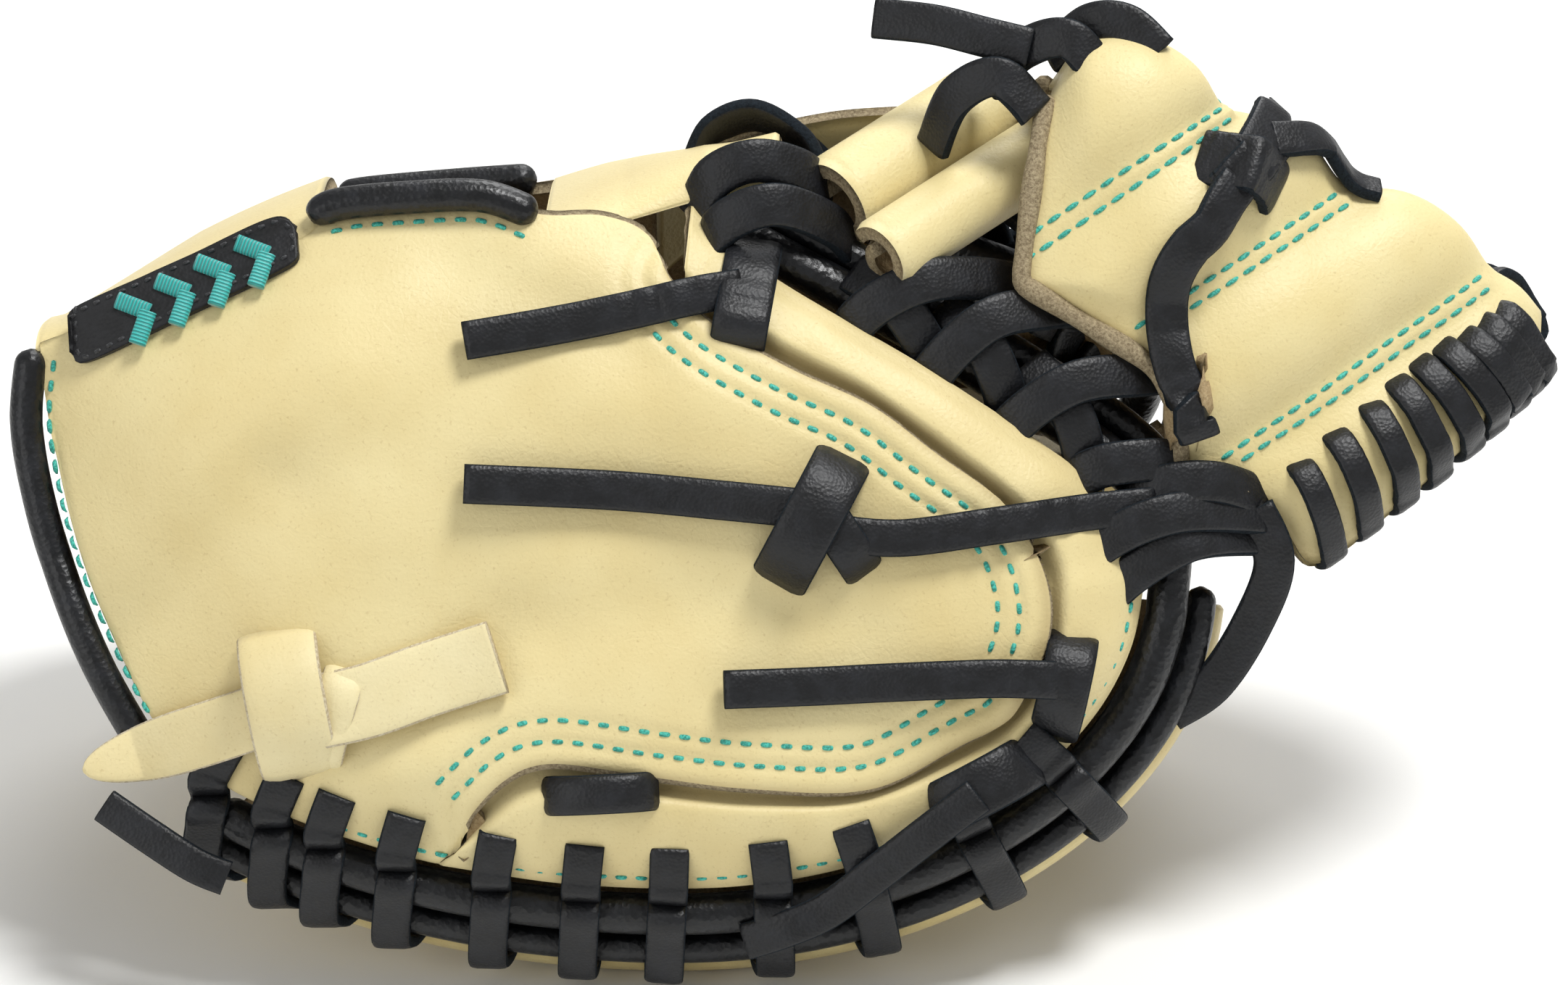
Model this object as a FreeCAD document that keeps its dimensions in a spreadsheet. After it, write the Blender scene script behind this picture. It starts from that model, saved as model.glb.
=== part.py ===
import FreeCAD, Part
import math
import os
import Sketcher

# Catcher's mitt for the left hand, half open and standing on its two rims like a tent.
# X runs from the wrist to the web, Z is up, the thumb half is on the -Y side.
# Each half is laid out on its own slanted plane: x along the mitt, rise up the slope from
# the rim, level outward from that plane. Both halves turn about the crease along X.

doc = FreeCAD.newDocument("catchers_mitt")
sheet = doc.addObject("Spreadsheet::Sheet", "Sizes")

SIZES = {
    "slope_angle": 62.0,        # slope of each half, degrees from the floor
    "crease_rise": 150.0,       # from the rim line up the slope to the crease
    "rim_centre": -20.0,        # x of the lowest point of the rim
    "tip_reach": 104.0,         # rim centre to the end of the thumb and finger tips
    "wrist_reach": 131.0,       # the same towards the wrist, if the rim ran on
    "rim_depth": 75.0,          # how far the rim climbs at its ends
    "crown_level": 25.0,        # height of the back panel over the plane
    "edge_level": 8.0,          # height of the back panel at the welt
    "roll_length": 38.0,        # how far the padded rim takes to reach the crown
    "palm_level": 15.0,         # depth of the palm face under the plane
    "pocket_radius": 16.0,      # rounding of the palm at the crease
    "rest_drop": 4.9,           # floor under the rim line, with the rim pressed a little flat
    "leather": 3.0,
    "gap": 0.4,                 # clearance between neighbouring soft pieces
    "welt_radius": 3.9,
    "palm_welt_radius": 3.0,
    "binding_radius": 2.8,
    "lace_width": 6.4,
    "lace_thick": 2.4,
    "strap_width": 14.0,
    "strap_thick": 2.2,
    "stall_width": 36.0,
    "stall_height": 17.0,
    "stall_length": 104.0,
    "stall_wall": 1.6,
    "web_tip_x": 146.0,
    "web_roll_radius": 9.5,
    "web_curl_radius": 5.6,
    "web_roll_wall": 3.0,
    "web_roll_length": 37.0,
    "badge_length": 42.0,
    "badge_width": 16.0,
    "badge_thick": 2.4,
    "motif_thick": 0.9,
    "whip_first_x": -112.0,
    "whip_last_x": 62.0,
    "whip_count": 11.0,
}

for row, (name, value) in enumerate(SIZES.items(), start=1):
    sheet.set(f"A{row}", name)
    sheet.set(f"B{row}", str(value))
    sheet.setAlias(f"B{row}", name)
doc.recompute()


def size(name):
    return float(sheet.get(name))


SLOPE = math.radians(size("slope_angle"))
CREASE = size("crease_rise")
LEATHER = size("leather")
GAP = size("gap")
THUMB = -1
FINGER = 1


WELT_INSET = size("welt_radius") + 8.0
PANEL_INSET = WELT_INSET + size("welt_radius") + 0.8

# ---------- shape of a half ----------

def place(side, x, rise, level):
    """Point of one half in the mitt's frame."""
    across = (CREASE - rise) * math.cos(SLOPE) + level * math.sin(SLOPE)
    height = rise * math.sin(SLOPE) + level * math.cos(SLOPE) + size("rest_drop")
    return FreeCAD.Vector(x, side * across, height)


def curve(points, share):
    """Catmull-Rom curve through the points, share 0..1."""
    count = len(points) - 1
    place_on = min(max(share, 0.0), 1.0) * count
    index = min(int(place_on), count - 1)
    local = place_on - index
    before = points[max(index - 1, 0)]
    start, end = points[index], points[index + 1]
    after = points[min(index + 2, count)]
    result = []
    for p0, p1, p2, p3 in zip(before, start, end, after):
        slope_in = (p2 - p0) / 2
        slope_out = (p3 - p1) / 2
        result.append((2 * local ** 3 - 3 * local ** 2 + 1) * p1
                      + (local ** 3 - 2 * local ** 2 + local) * slope_in
                      + (3 * local ** 2 - 2 * local ** 3) * p2
                      + (local ** 3 - local ** 2) * slope_out)
    return result


def rounded(distance, length):
    """0 at an edge, rising ever more gently to 1 at the given length."""
    share = min(max(distance / length, 0.0), 1.0)
    return 1 - (1 - share) ** 2


def reach_at(x):
    return size("tip_reach") if x > size("rim_centre") else size("wrist_reach")


def rim_distance(x, rise):
    """Distance inside the elliptic rim, zero on the rim."""
    depth = size("rim_depth")
    along = (x - size("rim_centre")) / reach_at(x)
    up = (depth - rise) / depth if rise < depth else 0.0
    return (1 - math.hypot(along, up)) * depth * (1 + 0.5 * abs(along))


def ridge_rise(x):
    """Rise of the back's ridge line over the hand."""
    return CREASE - 5 - 25 * rounded(-55 - x, 120.0) ** 2 if x < -55 else CREASE - 5


def slant_distance(x, rise):
    """Distance under the slanted edge from the crotch down to the thumb tip."""
    return ((75 - x) * 50 + (CREASE - 62 - rise) * 79) / 93.5


def back_level(x, rise):
    """Level of the back panels over the slanted plane."""
    body = rounded(rim_distance(x, rise) - WELT_INSET, size("roll_length"))
    body *= 0.35 + 0.65 * rounded(slant_distance(x, rise) + 2, 30.0)
    body *= 0.25 + 0.75 * rounded(ridge_rise(x) - rise + 2, 42.0)
    body *= 0.72 + 0.28 * rounded(x + 146, 60.0)
    return size("edge_level") + (size("crown_level") - size("edge_level")) * body


WRIST_CORNER = math.acos(-0.76)


def rim_point(share, inset=0.0):
    """Point of the rim, from the wrist corner (0) past the bottom to the tip (1)."""
    angle = WRIST_CORNER * (1 - share)
    reach = size("tip_reach") if angle < math.pi / 2 else size("wrist_reach")
    depth = size("rim_depth")
    return [size("rim_centre") + (reach - inset) * math.cos(angle),
            depth - (depth - inset) * math.sin(angle)]


def blend(start, end, share):
    return [a + (b - a) * share for a, b in zip(start, end)]


# ---------- solids ----------

def surface(grid):
    result = Part.BSplineSurface()
    result.interpolate(grid)
    return result


def skin(outer, inner):
    """Closed solid between two grids of points with the same counts."""
    top, bottom = surface(outer), surface(inner)
    faces = [top.toShape(), bottom.toShape()]
    ends = [(s.bounds()[0], s.bounds()[1], s.bounds()[2], s.bounds()[3]) for s in (top, bottom)]
    for which in (0, 1):
        faces.append(Part.makeRuledSurface(top.uIso(ends[0][which]).toShape(),
                                           bottom.uIso(ends[1][which]).toShape()))
        faces.append(Part.makeRuledSurface(top.vIso(ends[0][2 + which]).toShape(),
                                           bottom.vIso(ends[1][2 + which]).toShape()))
    shell = Part.makeShell(faces)
    shell.sewShape()
    solid = Part.Solid(shell)
    if solid.Volume < 0:
        solid.reverse()
    return solid


def grids(side, point, upper, lower, across=9, along=17):
    """Outer and inner grid of a half's piece. point(u, v) gives x, rise; upper and lower
    give the level there."""
    outer, inner = [], []
    for i in range(along):
        row_out, row_in = [], []
        for j in range(across):
            x, rise = point(i / (along - 1), j / (across - 1))
            row_out.append(place(side, x, rise, upper(x, rise)))
            row_in.append(place(side, x, rise, lower(x, rise)))
        outer.append(row_out)
        inner.append(row_in)
    return skin(outer, inner)


def tube(points, radius):
    """Round roll along a smooth path through the points."""
    path = Part.BSplineCurve()
    path.interpolate(points)
    start = Part.Wire(Part.makeCircle(radius, points[0], path.tangent(path.FirstParameter)[0]))
    return Part.Wire(path.toShape()).makePipeShell([start], True, False)


def strip(side, path, width, thick, lift=0.0, steps=9):
    """Flat lace or strap lying on the back panel along a path of [x, rise]."""
    outer, inner = [], []
    for i in range(steps):
        here = curve(path, i / (steps - 1))
        ahead = curve(path, min(i / (steps - 1) + 0.02, 1.0))
        back = curve(path, max(i / (steps - 1) - 0.02, 0.0))
        run = [ahead[0] - back[0], ahead[1] - back[1]]
        length = math.hypot(*run)
        normal = [-run[1] / length, run[0] / length]
        row_out, row_in = [], []
        for j in range(4):
            offset = width * (j / 3 - 0.5)
            x, rise = here[0] + normal[0] * offset, here[1] + normal[1] * offset
            level = back_level(here[0], here[1]) + 2 * GAP + lift
            level += 0.7 * max(back_level(x, rise) - back_level(here[0], here[1]), 0)
            row_out.append(place(side, x, rise, level + thick))
            row_in.append(place(side, x, rise, level))
        outer.append(row_out)
        inner.append(row_in)
    return skin(outer, inner)


def feature(label, shape):
    node = doc.addObject("Part::Feature", label)
    node.Label = label
    node.Shape = shape
    NODES.append(node)
    return node


NODES = []


# ---------- pieces that both halves have ----------

OUTER_LOW = [rim_point(share, PANEL_INSET + GAP) for share in (-0.05, 0.06, 0.17, 0.28)]
OUTER_LOW += [[-56.0, 31.0], [-42.0, 38.0], [-24.0, 37.0], [-4.0, 35.0], [16.0, 36.0], [33.0, 43.0],
              [45.0, 56.0]]
OUTER_TOP = [[-139.0, CREASE - 31.5], [-112.0, CREASE - 20.5], [-84.0, CREASE - 10.5],
             [-54.0, CREASE - 6.5], [-30.0, CREASE - 6.5], [-23.0, CREASE - 12],
             [-20.0, CREASE - 22], [-4.0, CREASE - 32], [16.0, CREASE - 44],
             [34.0, CREASE - 57], [46.0, CREASE - 70]]
# the finger half's top edge lies lower towards the wrist
FINGER_TOP = [[-137.0, 83.0], [-112.0, 101.0], [-84.0, 113.5], [-54.0, 117.5],
              [-34.0, 126.0], [-26.5, 135.0]] + OUTER_TOP[6:]
TOPS = {THUMB: OUTER_TOP, FINGER: FINGER_TOP}
RIM_INNER = [[-64.0, 19.0], [-55.0, 31.0], [-42.0, 38.0], [-24.0, 37.0], [-4.0, 35.0],
             [16.0, 36.0], [33.0, 43.0], [45.0, 56.0], [49.0, 68.0], [46.0, CREASE - 70],
             [34.0, CREASE - 57], [16.0, CREASE - 44], [-4.0, CREASE - 32], [-20.0, CREASE - 22],
             [-23.0, CREASE - 12]]
SLANT_WELT = [[72.0, CREASE - 66], [63.0, CREASE - 54], [46.0, CREASE - 42],
              [18.0, CREASE - 25], [-4.0, CREASE - 13]]
EDGE_STEP = 3.4     # from the big panel's edge curve to the rim panel


def outer_panel(side):
    """Big back panel, from the wrist edge to the rounded end over the tip."""
    def point(u, v):
        x, rise = blend(curve(OUTER_LOW, u), curve(TOPS[side], u), v)
        bow = 4 * v * (1 - v)
        return x + (3.5 * u ** 8 - 6 * (1 - u) ** 6) * bow, rise
    return grids(side, point, back_level, lambda x, rise: back_level(x, rise) - LEATHER)


def rim_panel(side):
    """Band round the big panel, down to the welt."""
    low = [rim_point(0.36 + 0.64 * k / 8, PANEL_INSET) for k in range(9)]
    high = [[SLANT_WELT[k][0] - 4, SLANT_WELT[k][1] - 5.5] for k in range(1, 5)]
    outer = low + high + [[-14.0, CREASE - 8.0]]

    def point(u, v):
        inner = curve(RIM_INNER, u)
        edge = curve(outer, u)
        length = math.hypot(edge[0] - inner[0], edge[1] - inner[1])
        start = EDGE_STEP / max(length, EDGE_STEP + 0.6)
        return blend(inner, edge, start + (1 - start) * v)
    return grids(side, point, back_level, lambda x, rise: back_level(x, rise) - LEATHER,
                 across=6, along=25)


def pad(side):
    """Foam of one half: thick along the rim, hollowed in the middle for the stall."""
    under = LEATHER + 3.6

    def upper(x, rise):
        full = back_level(x, rise) - under
        hollow = rounded(rim_distance(x, rise) - 24, 20.0)
        return full + (PAD_FLOOR - full) * hollow

    def point(u, v):
        return blend(rim_point(0.03 + 0.92 * u, 17.0), curve(PAD_TOP, u), v)
    return grids(side, point, upper, lambda x, rise: -size("palm_level") + LEATHER + GAP)


PAD_FLOOR = -1.5
PAD_TOP = [[-122.0, 78.0], [-96.0, 84.0], [-60.0, 84.0], [-20.0, 84.0], [20.0, 84.0],
           [48.0, 82.0], [66.0, 74.0]]


def stall(side):
    """Leather sleeve for the thumb or the fingers: a flat tube open at the wrist."""
    def ring(x, rise, wide, high):
        points = []
        for k in range(25):
            angle = 2 * math.pi * k / 24
            points.append(place(side, x, rise + wide / 2 * math.cos(angle),
                                high / 2 * math.sin(angle) + STALL_LEVEL))
        spline = Part.BSplineCurve()
        spline.interpolate(points[:-1], True)
        return Part.Wire(spline.toShape())

    wall = size("stall_wall")
    wide, high = size("stall_width"), size("stall_height")
    end = STALL_START + size("stall_length")
    stations = [(STALL_START, 82.0, 1.0), (STALL_START + size("stall_length") / 2, 76.0, 0.95),
                (end, 70.0, 0.72)]
    outer = [ring(x, rise, wide * k, high * k) for x, rise, k in stations]
    inner = [ring(x + dx, rise, wide * k - 2 * wall, high * k - 2 * wall)
             for (x, rise, k), dx in zip(stations, (-1.0, 0.0, -wall))]
    return Part.makeLoft(outer, True, False).cut(Part.makeLoft(inner, True, False))


STALL_LEVEL = 9.6
STALL_START = -92.0


def welt_path(side, inset, level, last, with_slant):
    points = [place(side, *rim_point(0.02 + (last - 0.02) * k / 14, inset), level)
              for k in range(15)]
    if with_slant:
        points += [place(side, x, rise, level) for x, rise in SLANT_WELT]
    return points


def back_welt(side):
    radius = size("welt_radius")
    return tube(welt_path(side, radius + 8.0, size("edge_level") - 0.5, 0.97, True), radius)


def palm_welt(side):
    radius = size("palm_welt_radius")
    return tube(welt_path(side, radius + 2.2, 0.4, 0.99, False), radius)


def band(side, foot, run, profile, width, thick):
    """Flat lace bent along a profile of (inset, level) and laid across an edge at foot.
    Where the level is None the lace lies on the back panel."""
    length = math.hypot(*run)
    run = [run[0] / length, run[1] / length]
    normal = [-run[1], run[0]]

    def spot(inset, offset):
        return [foot[k] + run[k] * offset + normal[k] * inset for k in (0, 1)]
    profile = [(inset, back_level(*spot(inset, 0)) + LACE_LIFT if level is None else level)
               for inset, level in profile]
    outer, inner = [], []
    for index, (inward, level) in enumerate(profile):
        ahead = profile[min(index + 1, len(profile) - 1)]
        back = profile[max(index - 1, 0)]
        turn = math.hypot(ahead[0] - back[0], ahead[1] - back[1])
        out = ((ahead[1] - back[1]) / turn, -(ahead[0] - back[0]) / turn)
        for rows, shift in ((outer, thick), (inner, 0.0)):
            rows.append([place(side, *spot(inward + out[0] * shift, offset),
                               level + out[1] * shift)
                         for offset in (-width / 2, -width / 6, width / 6, width / 2)])
    return skin(outer, inner)


LACE_LIFT = 3.5
WHIP_PROFILE = [(25.0, None), (20.5, None), (16.5, None), (12.0, 12.4), (7.0, 10.2),
                (2.6, 5.4), (1.0, 0.6), (1.2, -3.2)]


def whip(side, share):
    """One turn of rim lace over both welts, from its hole in the back to the palm seam."""
    before, after = rim_point(share - 0.01), rim_point(share + 0.01)
    run = [after[0] - before[0], after[1] - before[1]]
    return band(side, rim_point(share), run, WHIP_PROFILE,
                size("lace_width"), size("lace_thick"))


def whips(side):
    count = int(size("whip_count"))
    turns = []
    for k in range(count):
        x = size("whip_first_x") + (size("whip_last_x") - size("whip_first_x")) * k / (count - 1)
        angle = math.acos((x - size("rim_centre")) / reach_at(x))
        turns.append(whip(side, 1 - angle / WRIST_CORNER))
    return Part.makeCompound(turns)


for side, name in ((THUMB, "thumb"), (FINGER, "finger")):
    feature(name + "_outer_panel", outer_panel(side))
    feature(name + "_rim_panel", rim_panel(side))
    feature(name + "_pad", pad(side))
    feature(name + "_stall", stall(side))
    feature(name + "_back_welt", back_welt(side))
    feature(name + "_palm_welt", palm_welt(side))
    feature(name + "_rim_lace", whips(side))


# ---------- laces, straps and rolls ----------

SLANT_PROFILE = [(8.6, None), (5.4, 12.6), (0.0, 13.2), (-4.4, 11.0), (-6.0, 6.0)]


def slant_lace(side):
    """Turns of lace round the slanted welt, where the web is tied to the tip."""
    turns = []
    for k in range(5):
        share = 0.26 + 0.125 * k
        foot, ahead = curve(SLANT_WELT, share), curve(SLANT_WELT, share + 0.02)
        run = [foot[0] - ahead[0], foot[1] - ahead[1]]
        turns.append(band(side, foot, run, SLANT_PROFILE, size("lace_width"),
                          size("lace_thick")))
    return Part.makeCompound(turns)


def edge_roll(side, points, radius):
    """Binding roll along an edge of the back panel, level with the leather's middle."""
    spots = [curve(points, k / 5) for k in range(6)]
    return tube([place(side, x, rise, back_level(x, min(rise, CREASE - 12)) - LEATHER / 2)
                 for x, rise in spots], radius)


def knotted(path, knot, width, thick, lift=0.0):
    """Lace tail lying on the thumb half with the turn of its knot across its end."""
    return Part.makeCompound([strip(THUMB, path, width, thick, lift=lift),
                              strip(THUMB, knot, width, thick, lift=lift + thick + GAP, steps=5)])


WRIST_EDGE = [[-119.8, 43.0], [-128.2, 58.0], [-134.6, 73.0], [-139.4, 88.0], [-142.2, 104.0],
              [-143.0, CREASE - 33]]
OPENING_EDGE = [[-86.0, CREASE - 5.0], [-80.0, CREASE - 2.5], [-56.0, CREASE - 0.5],
                [-46.0, CREASE - 3.0]]
WRIST_EDGES = {THUMB: WRIST_EDGE,
               FINGER: [[-119.8, 42.0], [-129.6, 50.2], [-136.6, 60.8], [-140.4, 72.0],
                        [-141.6, 84.0]]}
OPENING_EDGES = {THUMB: OPENING_EDGE,
                 FINGER: [[-86.0, 119.0], [-80.0, 120.8], [-60.0, 123.0], [-48.0, 127.0]]}

for side, name in ((THUMB, "thumb"), (FINGER, "finger")):
    feature(name + "_wrist_binding", edge_roll(side, WRIST_EDGES[side], size("binding_radius")))
    feature(name + "_opening_binding",
            edge_roll(side, OPENING_EDGES[side], size("binding_radius")))
    feature(name + "_web_lace", slant_lace(side))

WIDE, THICK = size("lace_width"), size("lace_thick")
feature("upper_lace_tail", knotted([[-58, 119], [-36, 123], [-13, 129.0]],
                                   [[-9, 122], [-10, 133.5]], WIDE, THICK))
feature("middle_lace", knotted([[-58.5, 92], [-32, 90.5], [0, 89.5], [34, 88], [47, 89]],
                               [[1, 80], [4, 97]], WIDE, THICK))
feature("tip_lace_tail", knotted([[-10.5, 55], [18, 55.5], [44, 57]],
                                 [[38, 51], [40, 63]], WIDE, THICK))
feature("rim_lace_tail", knotted([[10, 25], [22, 30.5], [35, 38]],
                                 [[26, 40], [32, 28]], WIDE, THICK, lift=THICK + 8 * GAP))
feature("lace_bar_stitch", strip(THUMB, [[-42.5, 35], [-25.5, 34.5]], 7.0, THICK, steps=5))


def thumb_strap():
    """Pale strap that tightens the thumb loop: pointed tail, knot and square tail."""
    wide, thick = size("strap_width"), size("strap_thick")
    rise = 4 * GAP  # clear of the panel's curve beneath
    tails = [strip(THUMB, [[-112, 52.5], [-103, 52.5], [-93.5, 54]], wide * 0.8, thick, lift=rise),
             strip(THUMB, [[-90, 52.5], [-72, 55.5], [-54, 61]], wide, thick, lift=rise),
             strip(THUMB, [[-91, 45], [-92, 65]], wide, thick, lift=rise + thick + 5 * GAP, steps=5)]
    return Part.makeCompound(tails)


feature("thumb_adjust_strap", thumb_strap())


# ---------- badge, a flat plate on the strap of the thumb side ----------

def sketch_on(body, name, loops):
    """Closed loops of straight lines on the body's own XY plane."""
    sketch = body.newObject("Sketcher::SketchObject", name)
    plane = [item for item in body.Origin.OriginFeatures if item.Role == "XY_Plane"][0]
    sketch.AttachmentSupport = [(plane, "")]
    sketch.MapMode = "FlatFace"
    for loop in loops:
        corners = [FreeCAD.Vector(*corner) for corner in loop]
        for start, end in zip(corners, corners[1:] + corners[:1]):
            sketch.addGeometry(Part.LineSegment(start, end), False)
    return sketch


def plate(label, loops, thickness, placement):
    body = doc.addObject("PartDesign::Body", label)
    body.Label = label
    pad_feature = body.newObject("PartDesign::Pad", label + "_pad")
    pad_feature.Profile = sketch_on(body, label + "_outline", loops)
    pad_feature.setExpression("Length", "Sizes." + thickness)
    body.Placement = placement
    NODES.append(body)
    return body


def slope_placement(x, rise, level, turn):
    """Placement whose XY plane is the thumb half's plane and whose Z points outward."""
    tilt = FreeCAD.Rotation(FreeCAD.Vector(1, 0, 0), size("slope_angle"))
    spin = FreeCAD.Rotation(FreeCAD.Vector(0, 0, 1), turn)
    return FreeCAD.Placement(place(THUMB, x, rise, level), tilt.multiply(spin))


BADGE_X, BADGE_RISE = -112.5, CREASE - 21.5
BADGE_TURN = 23.0
BADGE_LEVEL = GAP + 0.5 + max(back_level(BADGE_X + dx, BADGE_RISE + dx * 0.42 + dy)
                              for dx in (-20, -10, 0, 10, 20) for dy in (-8, 0, 8))
half, wide = size("badge_length") / 2, size("badge_width") / 2
corner = 3.0
badge_loop = [[-half + corner, -wide], [half - corner - 5, -wide + 1], [half - 5, -wide + corner],
              [half, wide - corner - 5], [half - corner, wide], [-half + corner, wide - 3],
              [-half, wide - corner - 3], [-half, -wide + corner]]
plate("badge_patch", [badge_loop], "badge_thick",
      slope_placement(BADGE_X, BADGE_RISE, BADGE_LEVEL, BADGE_TURN))


def chevron(x):
    """One V stroke of the badge's raised motif."""
    arm, stroke = size("badge_width") * 0.24, 2.6
    return [[x, -arm], [x + stroke, -arm], [x + stroke + arm, 0], [x + stroke, arm],
            [x, arm], [x + arm, 0]]


plate("badge_motif", [chevron(x) for x in (-12.0, -5.5, 1.0, 7.5)], "motif_thick",
      slope_placement(BADGE_X, BADGE_RISE, BADGE_LEVEL + size("badge_thick"), BADGE_TURN))


# ---------- pieces that cross the crease ----------

def mirrored(points):
    """Points of the thumb side followed by their mirror on the finger side."""
    return points + [FreeCAD.Vector(p.x, -p.y, p.z) for p in reversed(points[:-1])]


PALM_SIDE = CREASE - size("palm_level") * math.tan(SLOPE)
ARCH_START = PALM_SIDE - size("pocket_radius") * math.tan(SLOPE)
APEX = place(THUMB, 0, PALM_SIDE, -size("palm_level")).z
ARCH_CENTRE = APEX - size("pocket_radius") / math.cos(SLOPE)
WRAP = [(5.6, -4.0), (1.6, -5.6), (0.0, -9.6), (1.8, -13.4), (7.0, -15.0)]


def palm_row(u, offset):
    """Cross-section of the palm leather; offset 0 is the pocket face, LEATHER its back."""
    crotch = 0.5 + 0.5 * math.cos(math.pi * u)
    middle = [8.0 - 140.0 * crotch ** 1.2, ARCH_START]
    row = []
    for index, (inset, level) in enumerate(WRAP):
        ahead = WRAP[min(index + 1, len(WRAP) - 1)]
        back = WRAP[max(index - 1, 0)]
        turn = math.hypot(ahead[0] - back[0], ahead[1] - back[1])
        inset += offset * -(ahead[1] - back[1]) / turn
        level += offset * (ahead[0] - back[0]) / turn
        row.append(place(THUMB, *rim_point(0.03 + 0.94 * u, inset), level))
    start = rim_point(0.03 + 0.94 * u, 16.0)
    for k in range(6):
        x, rise = blend(start, middle, k / 5)
        row.append(place(THUMB, x, rise, offset - size("palm_level")))
    for k in range(1, 5):
        angle = (math.pi / 2 + SLOPE) + (math.pi / 2 - (math.pi / 2 + SLOPE)) * k / 4
        reach = size("pocket_radius") + offset
        row.append(FreeCAD.Vector(middle[0], reach * math.cos(angle),
                                  ARCH_CENTRE + reach * math.sin(angle)))
    return mirrored(row)


def palm_shell():
    """One palm leather: rim, pocket face, over the crease and down to the other rim.
    The floor presses a narrow flat on each rim."""
    steps = 15
    whole = skin([palm_row(k / (steps - 1), 0.0) for k in range(steps)],
                 [palm_row(k / (steps - 1), LEATHER) for k in range(steps)])
    floor = Part.makeBox(400, 400, 50, FreeCAD.Vector(-200, -200, -50))
    return whole.cut(floor)


def over_crease(x_range, thumb_rise, finger_rise, pull, thick, steps=7, across=9):
    """Leather sheet over the crease. It leaves each half along its slope at the rise given
    for x, and pull is how far it goes on there, thumb and finger side, before it turns over."""
    up, down = [math.cos(SLOPE), math.sin(SLOPE)], [-math.cos(SLOPE), math.sin(SLOPE)]
    outer, inner = [], []
    for i in range(steps):
        x = x_range[0] + (x_range[1] - x_range[0]) * i / (steps - 1)
        start, end = [place(side, x, rise, back_level(x, rise) - 0.5)
                      for side, rise in ((THUMB, thumb_rise(x)), (FINGER, finger_rise(x)))]
        start, end = [start.y, start.z], [end.y, end.z]
        near = [start[k] + pull[0] * up[k] for k in (0, 1)]
        far = [end[k] + pull[1] * down[k] for k in (0, 1)]
        row_out, row_in = [], []
        for j in range(across):
            t = j / (across - 1)
            spot, slant = [], []
            for p, q, r, s in zip(start, near, far, end):
                spot.append((1 - t) ** 3 * p + 3 * t * (1 - t) ** 2 * q
                            + 3 * t ** 2 * (1 - t) * r + t ** 3 * s)
                slant.append((1 - t) ** 2 * (q - p) + 2 * t * (1 - t) * (r - q)
                             + t ** 2 * (s - r))
            length = math.hypot(*slant)
            row_out.append(FreeCAD.Vector(x, *spot))
            row_in.append(FreeCAD.Vector(x, spot[0] + slant[1] / length * thick,
                                         spot[1] - slant[0] / length * thick))
        outer.append(row_out)
        inner.append(row_in)
    return skin(outer, inner)


def palm_lining():
    """Hand-side lining over the crease, just above the palm leather."""
    reach = size("pocket_radius") + LEATHER + GAP

    def ring(x, radius):
        points = []
        for k in range(9):
            angle = math.pi / 2 + SLOPE * (1 - k / 4)
            points.append(FreeCAD.Vector(x, radius * math.cos(angle),
                                         ARCH_CENTRE + radius * math.sin(angle)))
        return points
    stations = [-126 + 110 * k / 6 for k in range(7)]
    return skin([ring(x, reach + 2.0) for x in stations], [ring(x, reach) for x in stations])


STRAP_RANGE = (-139.0, -90.0)
CROTCH_RANGE = (-38.0, -16.0)


def share_of(x, x_range):
    return (x - x_range[0]) / (x_range[1] - x_range[0])


def edge_at(points, x):
    """Rise of a top edge at x."""
    for (x_a, rise_a), (x_b, rise_b) in zip(points, points[1:]):
        if x <= x_b:
            return rise_a + (rise_b - rise_a) * (x - x_a) / (x_b - x_a)
    return points[-1][1]


feature("palm_shell", palm_shell())
feature("palm_lining", palm_lining())
feature("wrist_strap", over_crease(STRAP_RANGE, lambda x: edge_at(OUTER_TOP, x) + 2.6,
                                   lambda x: edge_at(FINGER_TOP, x) + 2.6, (9.0, 16.0), 2.6))
feature("crotch_panel", over_crease(CROTCH_RANGE, lambda x: CREASE - 4.6,
                                    lambda x: 131.0 + 13 * share_of(x, CROTCH_RANGE),
                                    (6.0, 8.0), 2.6))


# ---------- web ----------

WEB_LOW = [[46.0, CREASE - 21], [58.0, CREASE - 29], [70.0, CREASE - 38], [79.0, CREASE - 50],
           [89.0, CREASE - 62], [101.0, CREASE - 72], [117.0, CREASE - 61],
           [131.0, CREASE - 49], [size("web_tip_x") - 2, CREASE - 36]]
WEB_RIDGE = [[51.0, 156.0], [60.0, 161.5], [69.0, 162.0], [81.0, 154.0], [92.0, 145.5],
             [104.0, 137.0], [118.0, 129.0], [132.0, 120.0], [size("web_tip_x"), 108.0]]


def web_point(t, w, drop=0.0):
    """Web surface: t from its base to its tip, w 0 on the thumb edge, 0.5 on the ridge."""
    x_low, rise = curve(WEB_LOW, t)
    low = place(THUMB, x_low, rise, 15.0 - 24.0 * t ** 2)
    x_top, z_top = curve(WEB_RIDGE, t)
    share = abs(1 - 2 * w)
    y = (low.y + drop * 0.75) * share
    z = low.z + (z_top - low.z) * (1 - share ** 1.7) - drop * (1 - 0.45 * share)
    return FreeCAD.Vector(x_top + (x_low - x_top) * share, y if w < 0.5 else -y, z)


def web_panel(drop, thick):
    stations = [k / 14 for k in range(15)]
    across = [k / 12 for k in range(13)]
    return skin([[web_point(t, w, drop) for w in across] for t in stations],
                [[web_point(t, w, drop + thick) for w in across] for t in stations])


WEB_LACE_LIFT = 2.8


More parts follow.
